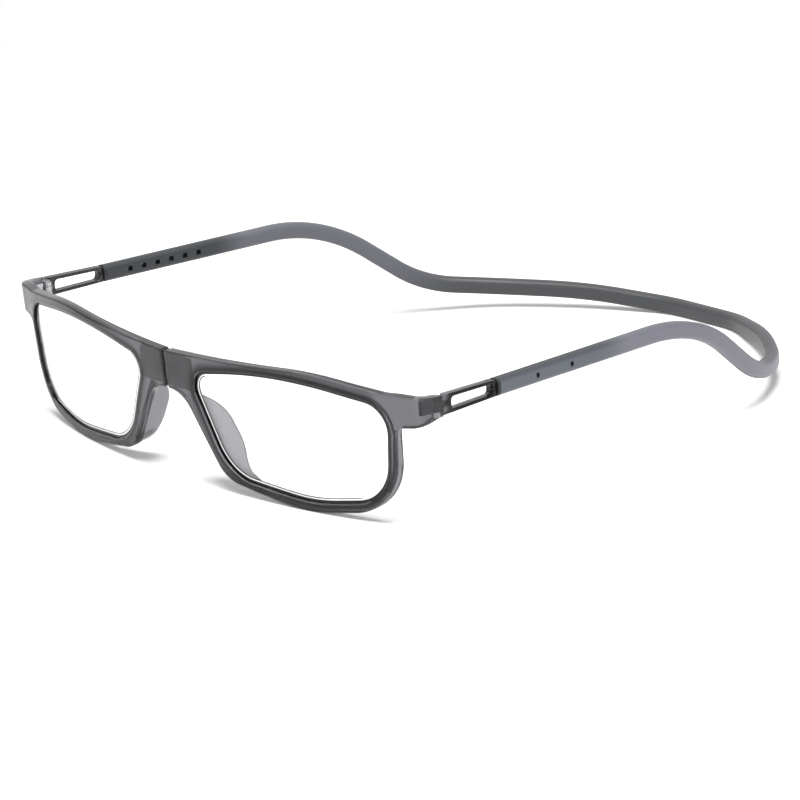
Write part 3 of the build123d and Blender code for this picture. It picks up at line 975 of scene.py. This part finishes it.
def smoke_plastic(finish):
    """Milky grey moulded plastic with painted shade round the openings and a painted highlight on their
    rounded edges; lighter on the nose pads.
    """
    name = "Smoke plastic"
    if name in bpy.data.materials:
        return bpy.data.materials[name]
    paint = Paint(name)
    cloud = paint.noise(scale=180.0, detail=3.0)
    grain = paint.noise(scale=1 / finish.grain, detail=2.0)
    gloss = paint.noise(scale=900.0, detail=4.0)
    # Painted shade, darkest at the openings and fading with distance from them
    away = paint.attribute("from_opening").step(low=finish.shade_start, high=1)
    tone = paint.mix(away, finish.smoke_shade_and_cloud, finish.smoke)
    # Lighter on the nose pads, and a painted highlight on the rounded edge of an opening
    light = paint.attribute("pad") + finish.edge_light * paint.attribute("mark")
    tone = paint.mix(light, tone, finish.pad_smoke_and_highlight)
    tone = paint.mix(finish.smoke_cloud * cloud, tone, finish.smoke_shade_and_cloud)
    surface = paint.principled(
        {
            "Base Color": tone,
            "Roughness": finish.smoke_roughness + finish.smoke_spread * gloss,
            "IOR": 1.3,
            "Specular IOR Level": 0.25,
            "Transmission Weight": finish.smoke_clear,
            "Normal": paint.bump(grain, strength=0.06, distance=finish.grain_depth),
        }
    )
    depth = {"Color": (*finish.smoke_depth, 1), "Density": finish.smoke_density}
    volume = paint.node("ShaderNodeVolumeAbsorption", {}, depth, "Volume")
    return paint.finish(Surface=surface, Volume=volume)


def lens_material(finish):
    """Clear coated lens with a ground bevel along its edge, painted with a highlight and a line of shade."""
    paint = Paint("Clear lens")
    smear = paint.noise(scale=60.0, detail=5.0, roughness=0.6)
    smeared = [value * finish.lens_smear for value in finish.lens]
    glass = paint.principled(
        {
            "Base Color": paint.mix(smear, finish.lens, smeared),
            "Roughness": finish.lens_roughness + finish.lens_spread * smear,
            "IOR": 1.5,
            "Transmission Weight": 1.0,
        }
    )
    ground = paint.noise(scale=1 / finish.grain, detail=3.0)
    # The light rows are a painted highlight and the dark rows painted shade
    mark = paint.attribute("mark")
    light = mark.step(low=-0.2, high=0.2)
    painted_bevel = paint.principled(
        {
            "Base Color": paint.mix(light, finish.bevel_shade, finish.bevel),
            "Roughness": finish.bevel_roughness + finish.bevel_spread * ground,
        }
    )
    marked = paint.math("ABSOLUTE", mark).step(low=0.3, high=0.7)
    both = paint.node("ShaderNodeMixShader", {}, {0: marked, 1: glass, 2: painted_bevel})
    return paint.finish(Surface=both)


def band_material(finish):
    """Soft matte band with painted light and shade: its outer face lit, painted shade on the inner face and
    on top, deepest behind the neck; bluish over the tongue.
    """
    paint = Paint("Soft band")
    along = paint.attribute("along")
    outward = paint.attribute("outward")
    upward = paint.attribute("upward")
    grain = paint.noise(scale=1 / finish.grain, detail=3.0, roughness=0.6)
    cloud = paint.noise(scale=45.0, detail=3.0)
    over_tongue = 1 - along.step(finish.sleeve_full, finish.sleeve_end)
    # Painted shade that deepens along the inner face towards the back
    behind = along.step(finish.back_start, finish.back_full)
    outer = paint.mix(over_tongue, finish.band, finish.sleeve)
    # Painted shade on the inner face, and on the sleeve
    inner = paint.mix(behind, finish.band_painted_shade, finish.neck_painted_shade)
    inner = paint.mix(over_tongue, inner, finish.sleeve_shade_and_mottle)
    # The outer face keeps the lit colour; the top takes painted shade
    outside = outward.step(low=-0.2, high=0.75)
    not_top = 1 - finish.top_shade * upward.step(low=0.35, high=0.95)
    tone = paint.mix(outside * not_top, inner, outer)
    return paint.surface(
        {
            # Random clouds in the sleeve's shade colour
            "Base Color": paint.mix(finish.band_mottle * cloud, tone, finish.sleeve_shade_and_mottle),
            "Roughness": finish.band_roughness + finish.band_spread * grain,
            "Specular IOR Level": 0.45,
            "Normal": paint.bump(grain, strength=0.25, distance=finish.grain_depth),
        }
    )


def metal_material(name, finish, base, roughness, scratches):
    """Satin metal with fine turned or ground lines."""
    paint = Paint(name)
    lines = paint.noise(scale=scratches, detail=4.0, roughness=0.7)
    worn = [value * finish.metal_worn for value in base]
    return paint.surface(
        {
            "Base Color": paint.mix(lines, worn, base),
            "Metallic": 1.0,
            "Roughness": roughness + finish.metal_spread * lines,
            "Normal": paint.bump(lines, strength=0.15, distance=finish.scratch_depth),
        }
    )


def plain_material(name, finish, base, roughness, cover):
    """Moulded plastic, opaque or thinly covering."""
    paint = Paint(name)
    speckle = paint.noise(scale=1 / finish.grain, detail=3.0)
    dark = [value * finish.speckle for value in base]
    return paint.surface(
        {
            "Base Color": paint.mix(speckle, dark, base),
            "Roughness": roughness + finish.speckle_spread * speckle,
            "Alpha": cover,
            "Normal": paint.bump(speckle, strength=0.2, distance=finish.speckle_depth),
        }
    )


# Pieces


class GLASSES_OT_rims(bpy.types.Operator):
    """Half fronts with their lens grooves, nose pads and endpieces"""

    bl_idname = "glasses.rims"
    bl_label = "Rims"

    def execute(self, context):
        settings = context.scene.glasses
        shape = FrontShape(settings)
        sizes, finish = settings.front, settings.finish
        groove_start = sizes.lens_set_back - sizes.groove_fit
        groove_end = sizes.lens_set_back + sizes.lens_thickness + sizes.groove_fit
        groove = (sizes.lens_lip + sizes.groove_fit, groove_start, groove_end)
        opening = shape.opening_loop(0)
        plate = slab(
            shape.rim_loop(),
            opening,
            shape.place,
            RIM_GRID,
            wall_rows(sizes.edge_radius, sizes.back_radius),
            wall_rows(sizes.opening_radius, groove=groove),
        )
        rim = new_object("rim_shell_left", plate)
        fin = new_object("pad", self.pad(shape, settings.pad))
        store(fin.data, "pad", [1] * len(fin.data.vertices))
        carve(rim, fin, "UNION")
        clear_hinge(rim, shape, 1)
        temple = shape.end_x - finish.shade_reach

        def reach(point):
            """Reach of the painted shade, shorter on the temple side of the opening."""
            part = clamped((point.x - temple) / finish.shade_reach)
            return finish.shade_reach + (finish.temple_shade - finish.shade_reach) * part

        # Distance from the opening, which sets the painted shade
        store_distance(rim, [shape.place(point, 0, 0) for point in opening], reach)
        fade_marks(rim, shape)
        finish_pair(rim, "rim_shell", "front", smoke_plastic(finish), "rim")
        return {"FINISHED"}

    def pad(self, shape, pad):
        """Nose pad: a rounded fin behind the nasal side of the rim."""
        path = shape.nasal_path()
        lengths = lengths_along(path)

        def level(height):
            """Length down the path to a height."""
            index = next(i for i, point in enumerate(path) if point.y <= height)
            return -lengths[index]

        depth = shape.sizes.depth
        reach = depth + pad.reach
        root = shape.sizes.edge_radius
        top = level(shape.bridge_bottom - pad.drop)
        bottom = level(pad.bottom)
        corners = [
            (root, top),
            (root, bottom),
            (depth, bottom),
            (reach, level(pad.heel_height)),
            (reach, level(pad.crown_height)),
            (depth, top),
        ]
        root_radius = pad.edge_radius * PAD_ROOT_SHARE
        radii = [root_radius] * 3 + [pad.heel_radius, pad.crown_radius, root_radius]
        outline = filled_in(rounded(corners, radii), PAD_STEP)

        def place(point, depth_share, offset):
            """Point of space for a place behind the front face and down the path."""
            length = min(max(-point.y, 0), lengths[-1])
            index = next(i for i, value in enumerate(lengths[1:]) if value >= length - TINY)
            run = path[index + 1] - path[index]
            start = path[index] + run * ((length - lengths[index]) / run.length)
            inward = Vector((-run.y, run.x)).normalized()
            flat = start + inward * (pad.inset + depth_share * pad.thickness + offset)
            x = flat.x + (point.x - depth / 2) * tan(pad.splay)
            return shape.space(x, point.x + bow(shape.sizes.radius, flat.x), flat.y)

        return slab(outline, None, place, PAD_GRID, wall_rows(pad.edge_radius))


class GLASSES_OT_lenses(bpy.types.Operator):
    """Curved clear lenses set in the grooves of the rims"""

    bl_idname = "glasses.lenses"
    bl_label = "Lenses"

    def execute(self, context):
        settings = context.scene.glasses
        shape = FrontShape(settings)
        sizes = settings.front

        def place(point, depth_share, offset):
            """Point of space on the lens, which keeps its thickness along the depth."""
            x, depth, _, _ = shape.plan(point.x)
            reach = sizes.lens_set_back + sizes.lens_thickness * depth_share + offset
            return shape.space(x, depth + reach, point.y)

        rows = []
        for width_share, line_share, mark in BEVEL_ROW_SHARES:
            inset = sizes.bevel_width * width_share + sizes.bevel_line * line_share
            rows.append((sizes.lens_lip + inset, 0, 0, mark))
        rows += wall_rows(sizes.lens_thickness * LENS_EDGE_SHARE)
        outline = shape.opening_loop(sizes.lens_lip)
        lens = new_object("lens_disc_left", slab(outline, None, place, LENS_GRID, rows))
        fade_marks(lens, shape)
        finish_pair(lens, "lens_disc", "front", lens_material(settings.finish), "lens")
        return {"FINISHED"}


class GLASSES_OT_arms(bpy.types.Operator):
    """Slotted temple arms with the tongues that slide in the band"""

    bl_idname = "glasses.arms"
    bl_label = "Temple arms"

    def execute(self, context):
        settings = context.scene.glasses
        shape = FrontShape(settings)
        sizes, finish = settings.arm, settings.finish
        start, back, out = shape.arm_axes()

        def place(point, depth_share, offset):
            """Point of space for a point of the arm's side view, from its outer face inwards."""
            side = sizes.thickness * (0.5 - depth_share) - offset
            return start + back * point.x + UP * point.y + out * side

        outline = self.tapered(
            (-sizes.corner_radius, sizes.length),
            (sizes.front_height, sizes.rear_height),
            sizes.corner_radius,
            CORNER_STEP,
        )
        window = self.tapered(
            (sizes.window_start, sizes.window_start + sizes.window_length),
            (sizes.window_front_height, sizes.window_rear_height),
            sizes.window_corner_radius,
            WINDOW_CORNER_STEP,
        )
        rows = wall_rows(sizes.edge_radius)
        arm = new_object("arm_frame_left", slab(outline, window, place, ARM_GRID, rows, rows))
        half_thickness, half_height = sizes.tongue_thickness / 2, sizes.tongue_height / 2
        tongue = box_mesh(
            start + back * sizes.length,
            (back, out, UP),
            (-sizes.tongue_root, -half_thickness, -half_height),
            (sizes.tongue_length, half_thickness, half_height),
        )
        bmesh.ops.bevel(
            tongue,
            geom=tongue.edges[:],
            offset=sizes.edge_radius / 2,
            segments=TONGUE_EDGE_STEPS,
            affect="EDGES",
            profile=0.5,
        )
        carve(arm, new_object("tongue", tongue), "UNION")
        clear_hinge(arm, shape, -1)
        # Distance from the window, which sets the painted shade on the arm
        store_distance(arm, [place(point, 0, 0) for point in window], lambda _: finish.shade_reach)
        material = smoke_plastic(finish)
        finish_pair(arm, "arm_frame", "arm", material, "temple_arm")
        return {"FINISHED"}

    def tapered(self, ends, heights, radius, step):
        """A rounded outline from its front end to its rear end, with a height at each."""
        (start, end), (front, rear) = ends, [height / 2 for height in heights]
        corners = [(start, -front), (end, -rear), (end, rear), (start, front)]
        return filled_in(rounded(corners, [radius] * len(corners), step=step), OUTLINE_STEP)


# Neck band, made by Geometry Nodes


class Tree(Nodes):
    """Writes a Geometry Nodes tree with named inputs."""

    def __init__(self, name, inputs):
        super().__init__(bpy.data.node_groups.new(name, "GeometryNodeTree"))
        interface = self.tree.interface
        interface.new_socket("Geometry", in_out="INPUT", socket_type="NodeSocketGeometry")
        self.values = {}
        for key, value in inputs.items():
            kind = "NodeSocketInt" if isinstance(value, int) else "NodeSocketFloat"
            title = key.replace("_", " ").capitalize()
            socket = interface.new_socket(title, in_out="INPUT", socket_type=kind)
            self.values[socket.identifier] = value
        interface.new_socket("Geometry", in_out="OUTPUT", socket_type="NodeSocketGeometry")
        outputs = self.tree.nodes.new("NodeGroupInput").outputs
        self.geometry, *given = [Signal(self, socket) for socket in outputs]
        self.given = dict(zip(inputs, given))

    def give(self, piece):
        """Gives a piece the tree as a modifier, with the values of its inputs."""
        modifier = piece.modifiers.new(self.tree.name, "NODES")
        modifier.node_group = self.tree
        for identifier, value in self.values.items():
            modifier[identifier] = value

    def vector(self, *places):
        """A vector from its places along X, Y and Z."""
        return self.node("ShaderNodeCombineXYZ", {}, dict(zip("XYZ", places)))

    def box(self, *sides):
        """A box round the origin."""
        return self.node("GeometryNodeMeshCube", {}, {"Size": self.vector(*sides)})

    def moved(self, geometry, **change):
        """A geometry with a translation, rotation or scale."""
        return self.node("GeometryNodeTransform", {}, {"Geometry": geometry, **change})

    def join(self, parts):
        """Several geometries as one."""
        joined = self.node("GeometryNodeJoinGeometry")
        for part in parts:
            self.tree.links.new(part.socket, joined.socket.node.inputs[0])
        return joined

    def row_of_cuts(self, path, from_end, shape, count, first, pitch):
        """Copies of a cutting shape at even lengths along a path, from one of its ends."""
        length = first + self.node("GeometryNodeInputIndex") * pitch
        if from_end:
            length = self.node("GeometryNodeCurveLength", {}, {"Curve": path}) - length
        position = self.node(
            "GeometryNodeSampleCurve",
            {"mode": "LENGTH", "use_all_curves": True},
            {"Curves": path, "Length": length},
            "Position",
        )
        turn = self.node(
            "FunctionNodeAlignRotationToVector",
            {"axis": "X", "pivot_axis": "Z"},
            {"Vector": position.output("Tangent")},
        )
        points = self.node("GeometryNodePoints", {}, {"Count": count, "Position": position})
        copies = self.node(
            "GeometryNodeInstanceOnPoints",
            {},
            {"Points": points, "Instance": shape, "Rotation": turn},
        )
        return self.node("GeometryNodeRealizeInstances", {}, {"Geometry": copies})


def band_tree(sizes, arm, material):
    """Sweeps the rounded section along the path and cuts the bores, notches and pin holes."""
    names = (
        "thickness",
        "height",
        "corner_radius",
        "bore_length",
        "notch_count",
        "first_notch",
        "notch_pitch",
        "notch_length",
        "notch_height",
        "pin_hole_count",
        "first_pin_hole",
        "pin_hole_pitch",
        "pin_hole_width",
        "pin_hole_height",
    )
    inputs = {name: getattr(sizes, name) for name in names}
    inputs["bore_width"] = arm.tongue_thickness + 2 * sizes.bore_clearance
    inputs["bore_height"] = arm.tongue_height + 2 * sizes.bore_clearance
    tree = Tree("Neck band", inputs)
    given = tree.given
    thickness, height = given["thickness"], given["height"]
    path = tree.node("GeometryNodeMeshToCurve", {}, {"Mesh": tree.geometry})
    path = tree.node("GeometryNodeSetCurveNormal", {"mode": "Z_UP"}, {"Curve": path})
    section = tree.node(
        "GeometryNodeCurvePrimitiveQuadrilateral",
        {"mode": "RECTANGLE"},
        {"Width": thickness, "Height": height},
    )
    corner = {"Count": SECTION_CORNER_STEPS, "Radius": given["corner_radius"]}
    section = tree.node("GeometryNodeFilletCurve", {"mode": "POLY"}, {"Curve": section, **corner})
    place = tree.node("ShaderNodeSeparateXYZ", {}, {0: tree.node("GeometryNodeInputPosition")})
    # Places across and up the section, which set where the band's painted shade falls
    for name, axis, reach in (("outward", "X", 0.5 * thickness), ("upward", "Y", -0.5 * height)):
        value = tree.math("DIVIDE", place.output(axis), reach)
        section = tree.node(
            "GeometryNodeStoreNamedAttribute",
            {"data_type": "FLOAT", "domain": "POINT"},
            {"Geometry": section, "Name": name, "Value": value},
        )
    shell = tree.node(
        "GeometryNodeCurveToMesh",
        {},
        {"Curve": path, "Profile Curve": section, "Fill Caps": True},
    )
    bore = tree.box(2 * given["bore_length"], given["bore_width"], given["bore_height"])
    notch = tree.box(given["notch_length"], thickness, given["notch_height"])
    notch = tree.moved(notch, Translation=tree.vector(0, 0.5 * thickness))
    pin = tree.node(
        "GeometryNodeMeshCylinder",
        {},
        {"Vertices": PIN_SIDES, "Radius": 0.5, "Depth": thickness},
        "Mesh",
    )
    pin_scale = tree.vector(given["pin_hole_width"], given["pin_hole_height"], 1)
    pin = tree.moved(tree.moved(pin, Scale=pin_scale), Rotation=(pi / 2, 0, 0))
    pin = tree.moved(pin, Translation=tree.vector(0, -0.5 * thickness))
    notches = (notch, given["notch_count"], given["first_notch"], given["notch_pitch"])
    pins = (pin, given["pin_hole_count"], given["first_pin_hole"], given["pin_hole_pitch"])
    ends = (False, True)
    bores = [tree.row_of_cuts(path, end, bore, 1, 0, 0) for end in ends]
    holes = [tree.row_of_cuts(path, end, *row) for end in ends for row in (notches, pins)]
    for cuts in (bores, holes):
        shell = tree.node(
            "GeometryNodeMeshBoolean",
            {"operation": "DIFFERENCE", "solver": "EXACT"},
            {"Mesh 1": shell, "Mesh 2": tree.join(cuts)},
        )
    shell = tree.node("GeometryNodeRealizeInstances", {}, {"Geometry": shell})
    dressed = {"Geometry": shell, "Material": material}
    dressed = tree.node("GeometryNodeSetMaterial", {}, dressed)
    tree.add("NodeGroupOutput", {}, {0: dressed})
    return tree


class GLASSES_OT_neck_band(bpy.types.Operator):
    """Springy band behind the neck, with hollow notched ends"""

    bl_idname = "glasses.neck_band"
    bl_label = "Neck band"

    def execute(self, context):
        settings = context.scene.glasses
        sizes = settings.band
        shape = FrontShape(settings)
        back_y = shape.front_y + sizes.loop_depth - sizes.thickness / 2
        rest = sizes.height / 2
        path = self.path(shape, sizes, back_y, rest)
        data = bpy.data.meshes.new("neck_band_loop")
        data.from_pydata(path, [(index, index + 1) for index in range(len(path) - 1)], [])
        lengths = lengths_along(path)
        store(data, "along", [min(length, lengths[-1] - length) for length in lengths])
        band = placed("neck_band_loop", data)
        material = band_material(settings.finish)
        band_tree(sizes, settings.arm, material).give(band)
        settle(band)
        band.data.shade_smooth()
        band.data.set_sharp_from_angle(angle=BAND_CREASE)
        dress(band, material)
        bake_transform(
            band,
            "band_left",
            "band_right",
            start=(sizes.flex_reach, back_y, rest),
            end=(-sizes.flex_reach, back_y, rest),
        )
        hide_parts("neck_band_left", "neck_band_right")
        return {"FINISHED"}

    def path(self, shape, sizes, back_y, rest):
        """Middle line of the band, from its left mouth round the neck to the right one."""
        arm = shape.arm
        start, back, _ = shape.arm_axes()
        mouth = start + back * (arm.length + sizes.mouth_gap)
        corners = [mouth, mouth + back * sizes.straight_length]
        for across, along, above in BAND_CORNER_SHARES:
            height = rest + (arm.height - rest) * above
            y = shape.front_y + sizes.loop_depth * along
            corners.append(Vector((shape.hinge_x * across, y, height)))
        corners.append(Vector((shape.hinge_x * BACK_RUN_SHARE, back_y, rest)))
        corners.append(Vector((0, back_y, rest)))
        radii = [0]
        for before, corner, after in zip(corners, corners[1:], corners[2:]):
            run_in, run_out = corner - before, after - corner
            half_turn = run_in.angle(run_out) / 2
            radii.append(ARC_RUN_SHARE * min(run_in.length, run_out.length) / tan(half_turn))
        radii.append(0)
        left = rounded(corners, radii, closed=False, step=BAND_CORNER_STEP)
        left = filled_in(left, BAND_STEP, closed=False)
        return left + [Vector((-point.x, point.y, point.z)) for point in reversed(left[:-1])]


class GLASSES_OT_fittings(bpy.types.Operator):
    """Magnets, their holders, hinge leaves, screws and stop rings"""

    bl_idname = "glasses.fittings"
    bl_label = "Fittings"

    def execute(self, context):
        finish = context.scene.glasses.finish
        metal = metal_material(
            "Hinge metal", finish, finish.metal, finish.metal_roughness, scratches=2500.0
        )
        finishes = {
            "magnet": metal_material(
                "Magnet plating", finish, finish.magnet, finish.magnet_roughness, scratches=1800.0
            ),
            "magnet_insert": plain_material(
                "Dark insert", finish, finish.insert, finish.insert_roughness, finish.insert_cover
            ),
            "hinge_front_leaf": metal,
            "hinge_temple_leaf": metal,
            "hinge_screw": metal,
            "stop_ring": plain_material(
                "Black trim", finish, finish.trim, finish.trim_roughness, cover=1.0
            ),
        }
        for side in SIDES:
            for name, material in finishes.items():
                dress(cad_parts[f"{name}_{side}"], material)
        return {"FINISHED"}


class GLASSES_OT_stage(bpy.types.Operator):
    """Floor, soft lights and camera"""

    bl_idname = "glasses.stage"
    bl_label = "Stage"

    def execute(self, context):
        scene = context.scene
        stage = scene.glasses.stage
        scene.view_settings.view_transform = "Standard"
        self.floor(stage)
        self.world(scene, stage)
        self.lights()
        self.camera(scene, stage)
        return {"FINISHED"}

    def floor(self, stage):
        """Pale floor that keeps the shadow and turns plain white further away."""
        mesh = bmesh.new()
        bmesh.ops.create_grid(mesh, x_segments=1, y_segments=1, size=stage.floor_reach)
        floor = new_object("floor", mesh)
        paint = Paint("Pale floor")
        seen = paint.seen()
        matte = paint.node("ShaderNodeBsdfDiffuse", {}, {"Color": (*stage.floor_colour, 1)})
        glow = paint.node("ShaderNodeEmission", {}, {"Strength": stage.floor_glow * seen})
        near = paint.node("ShaderNodeAddShader", {}, {0: matte, 1: glow})
        far = paint.node("ShaderNodeEmission", {}, {"Color": WHITE, "Strength": seen})
        away = paint.node(
            "ShaderNodeVectorMath", {"operation": "LENGTH"}, {0: paint.place()}, "Value"
        )
        fade = away.step(stage.floor_fade, 2 * stage.floor_fade)
        both = paint.node("ShaderNodeMixShader", {}, {0: fade, 1: near, 2: far})
        floor.data.materials.append(paint.finish(Surface=both))

    def world(self, scene, stage):
        """Even light from all round, seen as white."""
        scene.world = bpy.data.worlds.new("Studio")
        scene.world.use_nodes = True
        nodes = Nodes(scene.world.node_tree)
        strength = stage.world_strength + (1 - stage.world_strength) * nodes.seen()
        light = {"Color": WHITE, "Strength": strength}
        background = nodes.node("ShaderNodeBackground", {}, light)
        nodes.add("ShaderNodeOutputWorld", {}, {"Surface": background})

    def lights(self):
        """Square softboxes."""
        for name, (position, target, width, power) in SOFTBOXES.items():
            lamp = bpy.data.lights.new(name, "AREA")
            lamp.shape = "SQUARE"
            lamp.size = width
            lamp.energy = power
            direction = Vector(target) - Vector(position)
            turn = direction.to_track_quat("-Z", "Y").to_matrix().to_4x4()
            placed(name, lamp).matrix_world = Matrix.Translation(position) @ turn

    def camera(self, scene, stage):
        """Camera at a turn and height round its target, with a little roll."""
        level = cos(stage.elevation)
        away = Vector((sin(stage.azimuth) * level, -cos(stage.azimuth) * level, 0))
        away.z = sin(stage.elevation)
        right = Vector((cos(stage.azimuth), sin(stage.azimuth), 0))
        up = away.cross(right)
        rolled_right = right * cos(stage.roll) + up * sin(stage.roll)
        rolled_up = up * cos(stage.roll) - right * sin(stage.roll)
        data = bpy.data.cameras.new("Camera")
        data.lens = stage.focal_length
        data.sensor_width = SENSOR_WIDTH
        data.clip_end = FARTHEST_VIEW
        turn = Matrix((rolled_right, rolled_up, away)).transposed().to_4x4()
        place = Vector(stage.target) + away * stage.distance
        scene.camera = placed("Camera", data)
        scene.camera.matrix_world = Matrix.Translation(place) @ turn


OPERATORS = (
    GLASSES_OT_stage,
    GLASSES_OT_rims,
    GLASSES_OT_lenses,
    GLASSES_OT_arms,
    GLASSES_OT_neck_band,
    GLASSES_OT_fittings,
)


class GLASSES_PT_panel(bpy.types.Panel):
    """Lists the pieces of the glasses"""

    bl_idname = "GLASSES_PT_panel"
    bl_label = "Reading glasses"
    bl_space_type = "VIEW_3D"
    bl_region_type = "UI"
    bl_category = "Glasses"

    def draw(self, context):
        for operator in OPERATORS:
            self.layout.operator(operator.bl_idname)


CLASSES = (
    FrontSizes,
    PadSizes,
    ArmSizes,
    BandSizes,
    Finishes,
    StageSettings,
    GlassesSettings,
    *OPERATORS,
    GLASSES_PT_panel,
)


def register():
    """Adds the settings, the operators and the panel."""
    for item in CLASSES:
        bpy.utils.register_class(item)
    bpy.types.Scene.glasses = PointerProperty(type=GlassesSettings)


def unregister():
    """Takes them out again."""
    del bpy.types.Scene.glasses
    for item in reversed(CLASSES):
        bpy.utils.unregister_class(item)


def main():
    """Makes the glasses."""
    register()
    bpy.ops.glasses.stage()
    bpy.ops.glasses.rims()
    bpy.ops.glasses.lenses()
    bpy.ops.glasses.arms()
    bpy.ops.glasses.neck_band()
    bpy.ops.glasses.fittings()


if __name__ == "__main__":
    main()
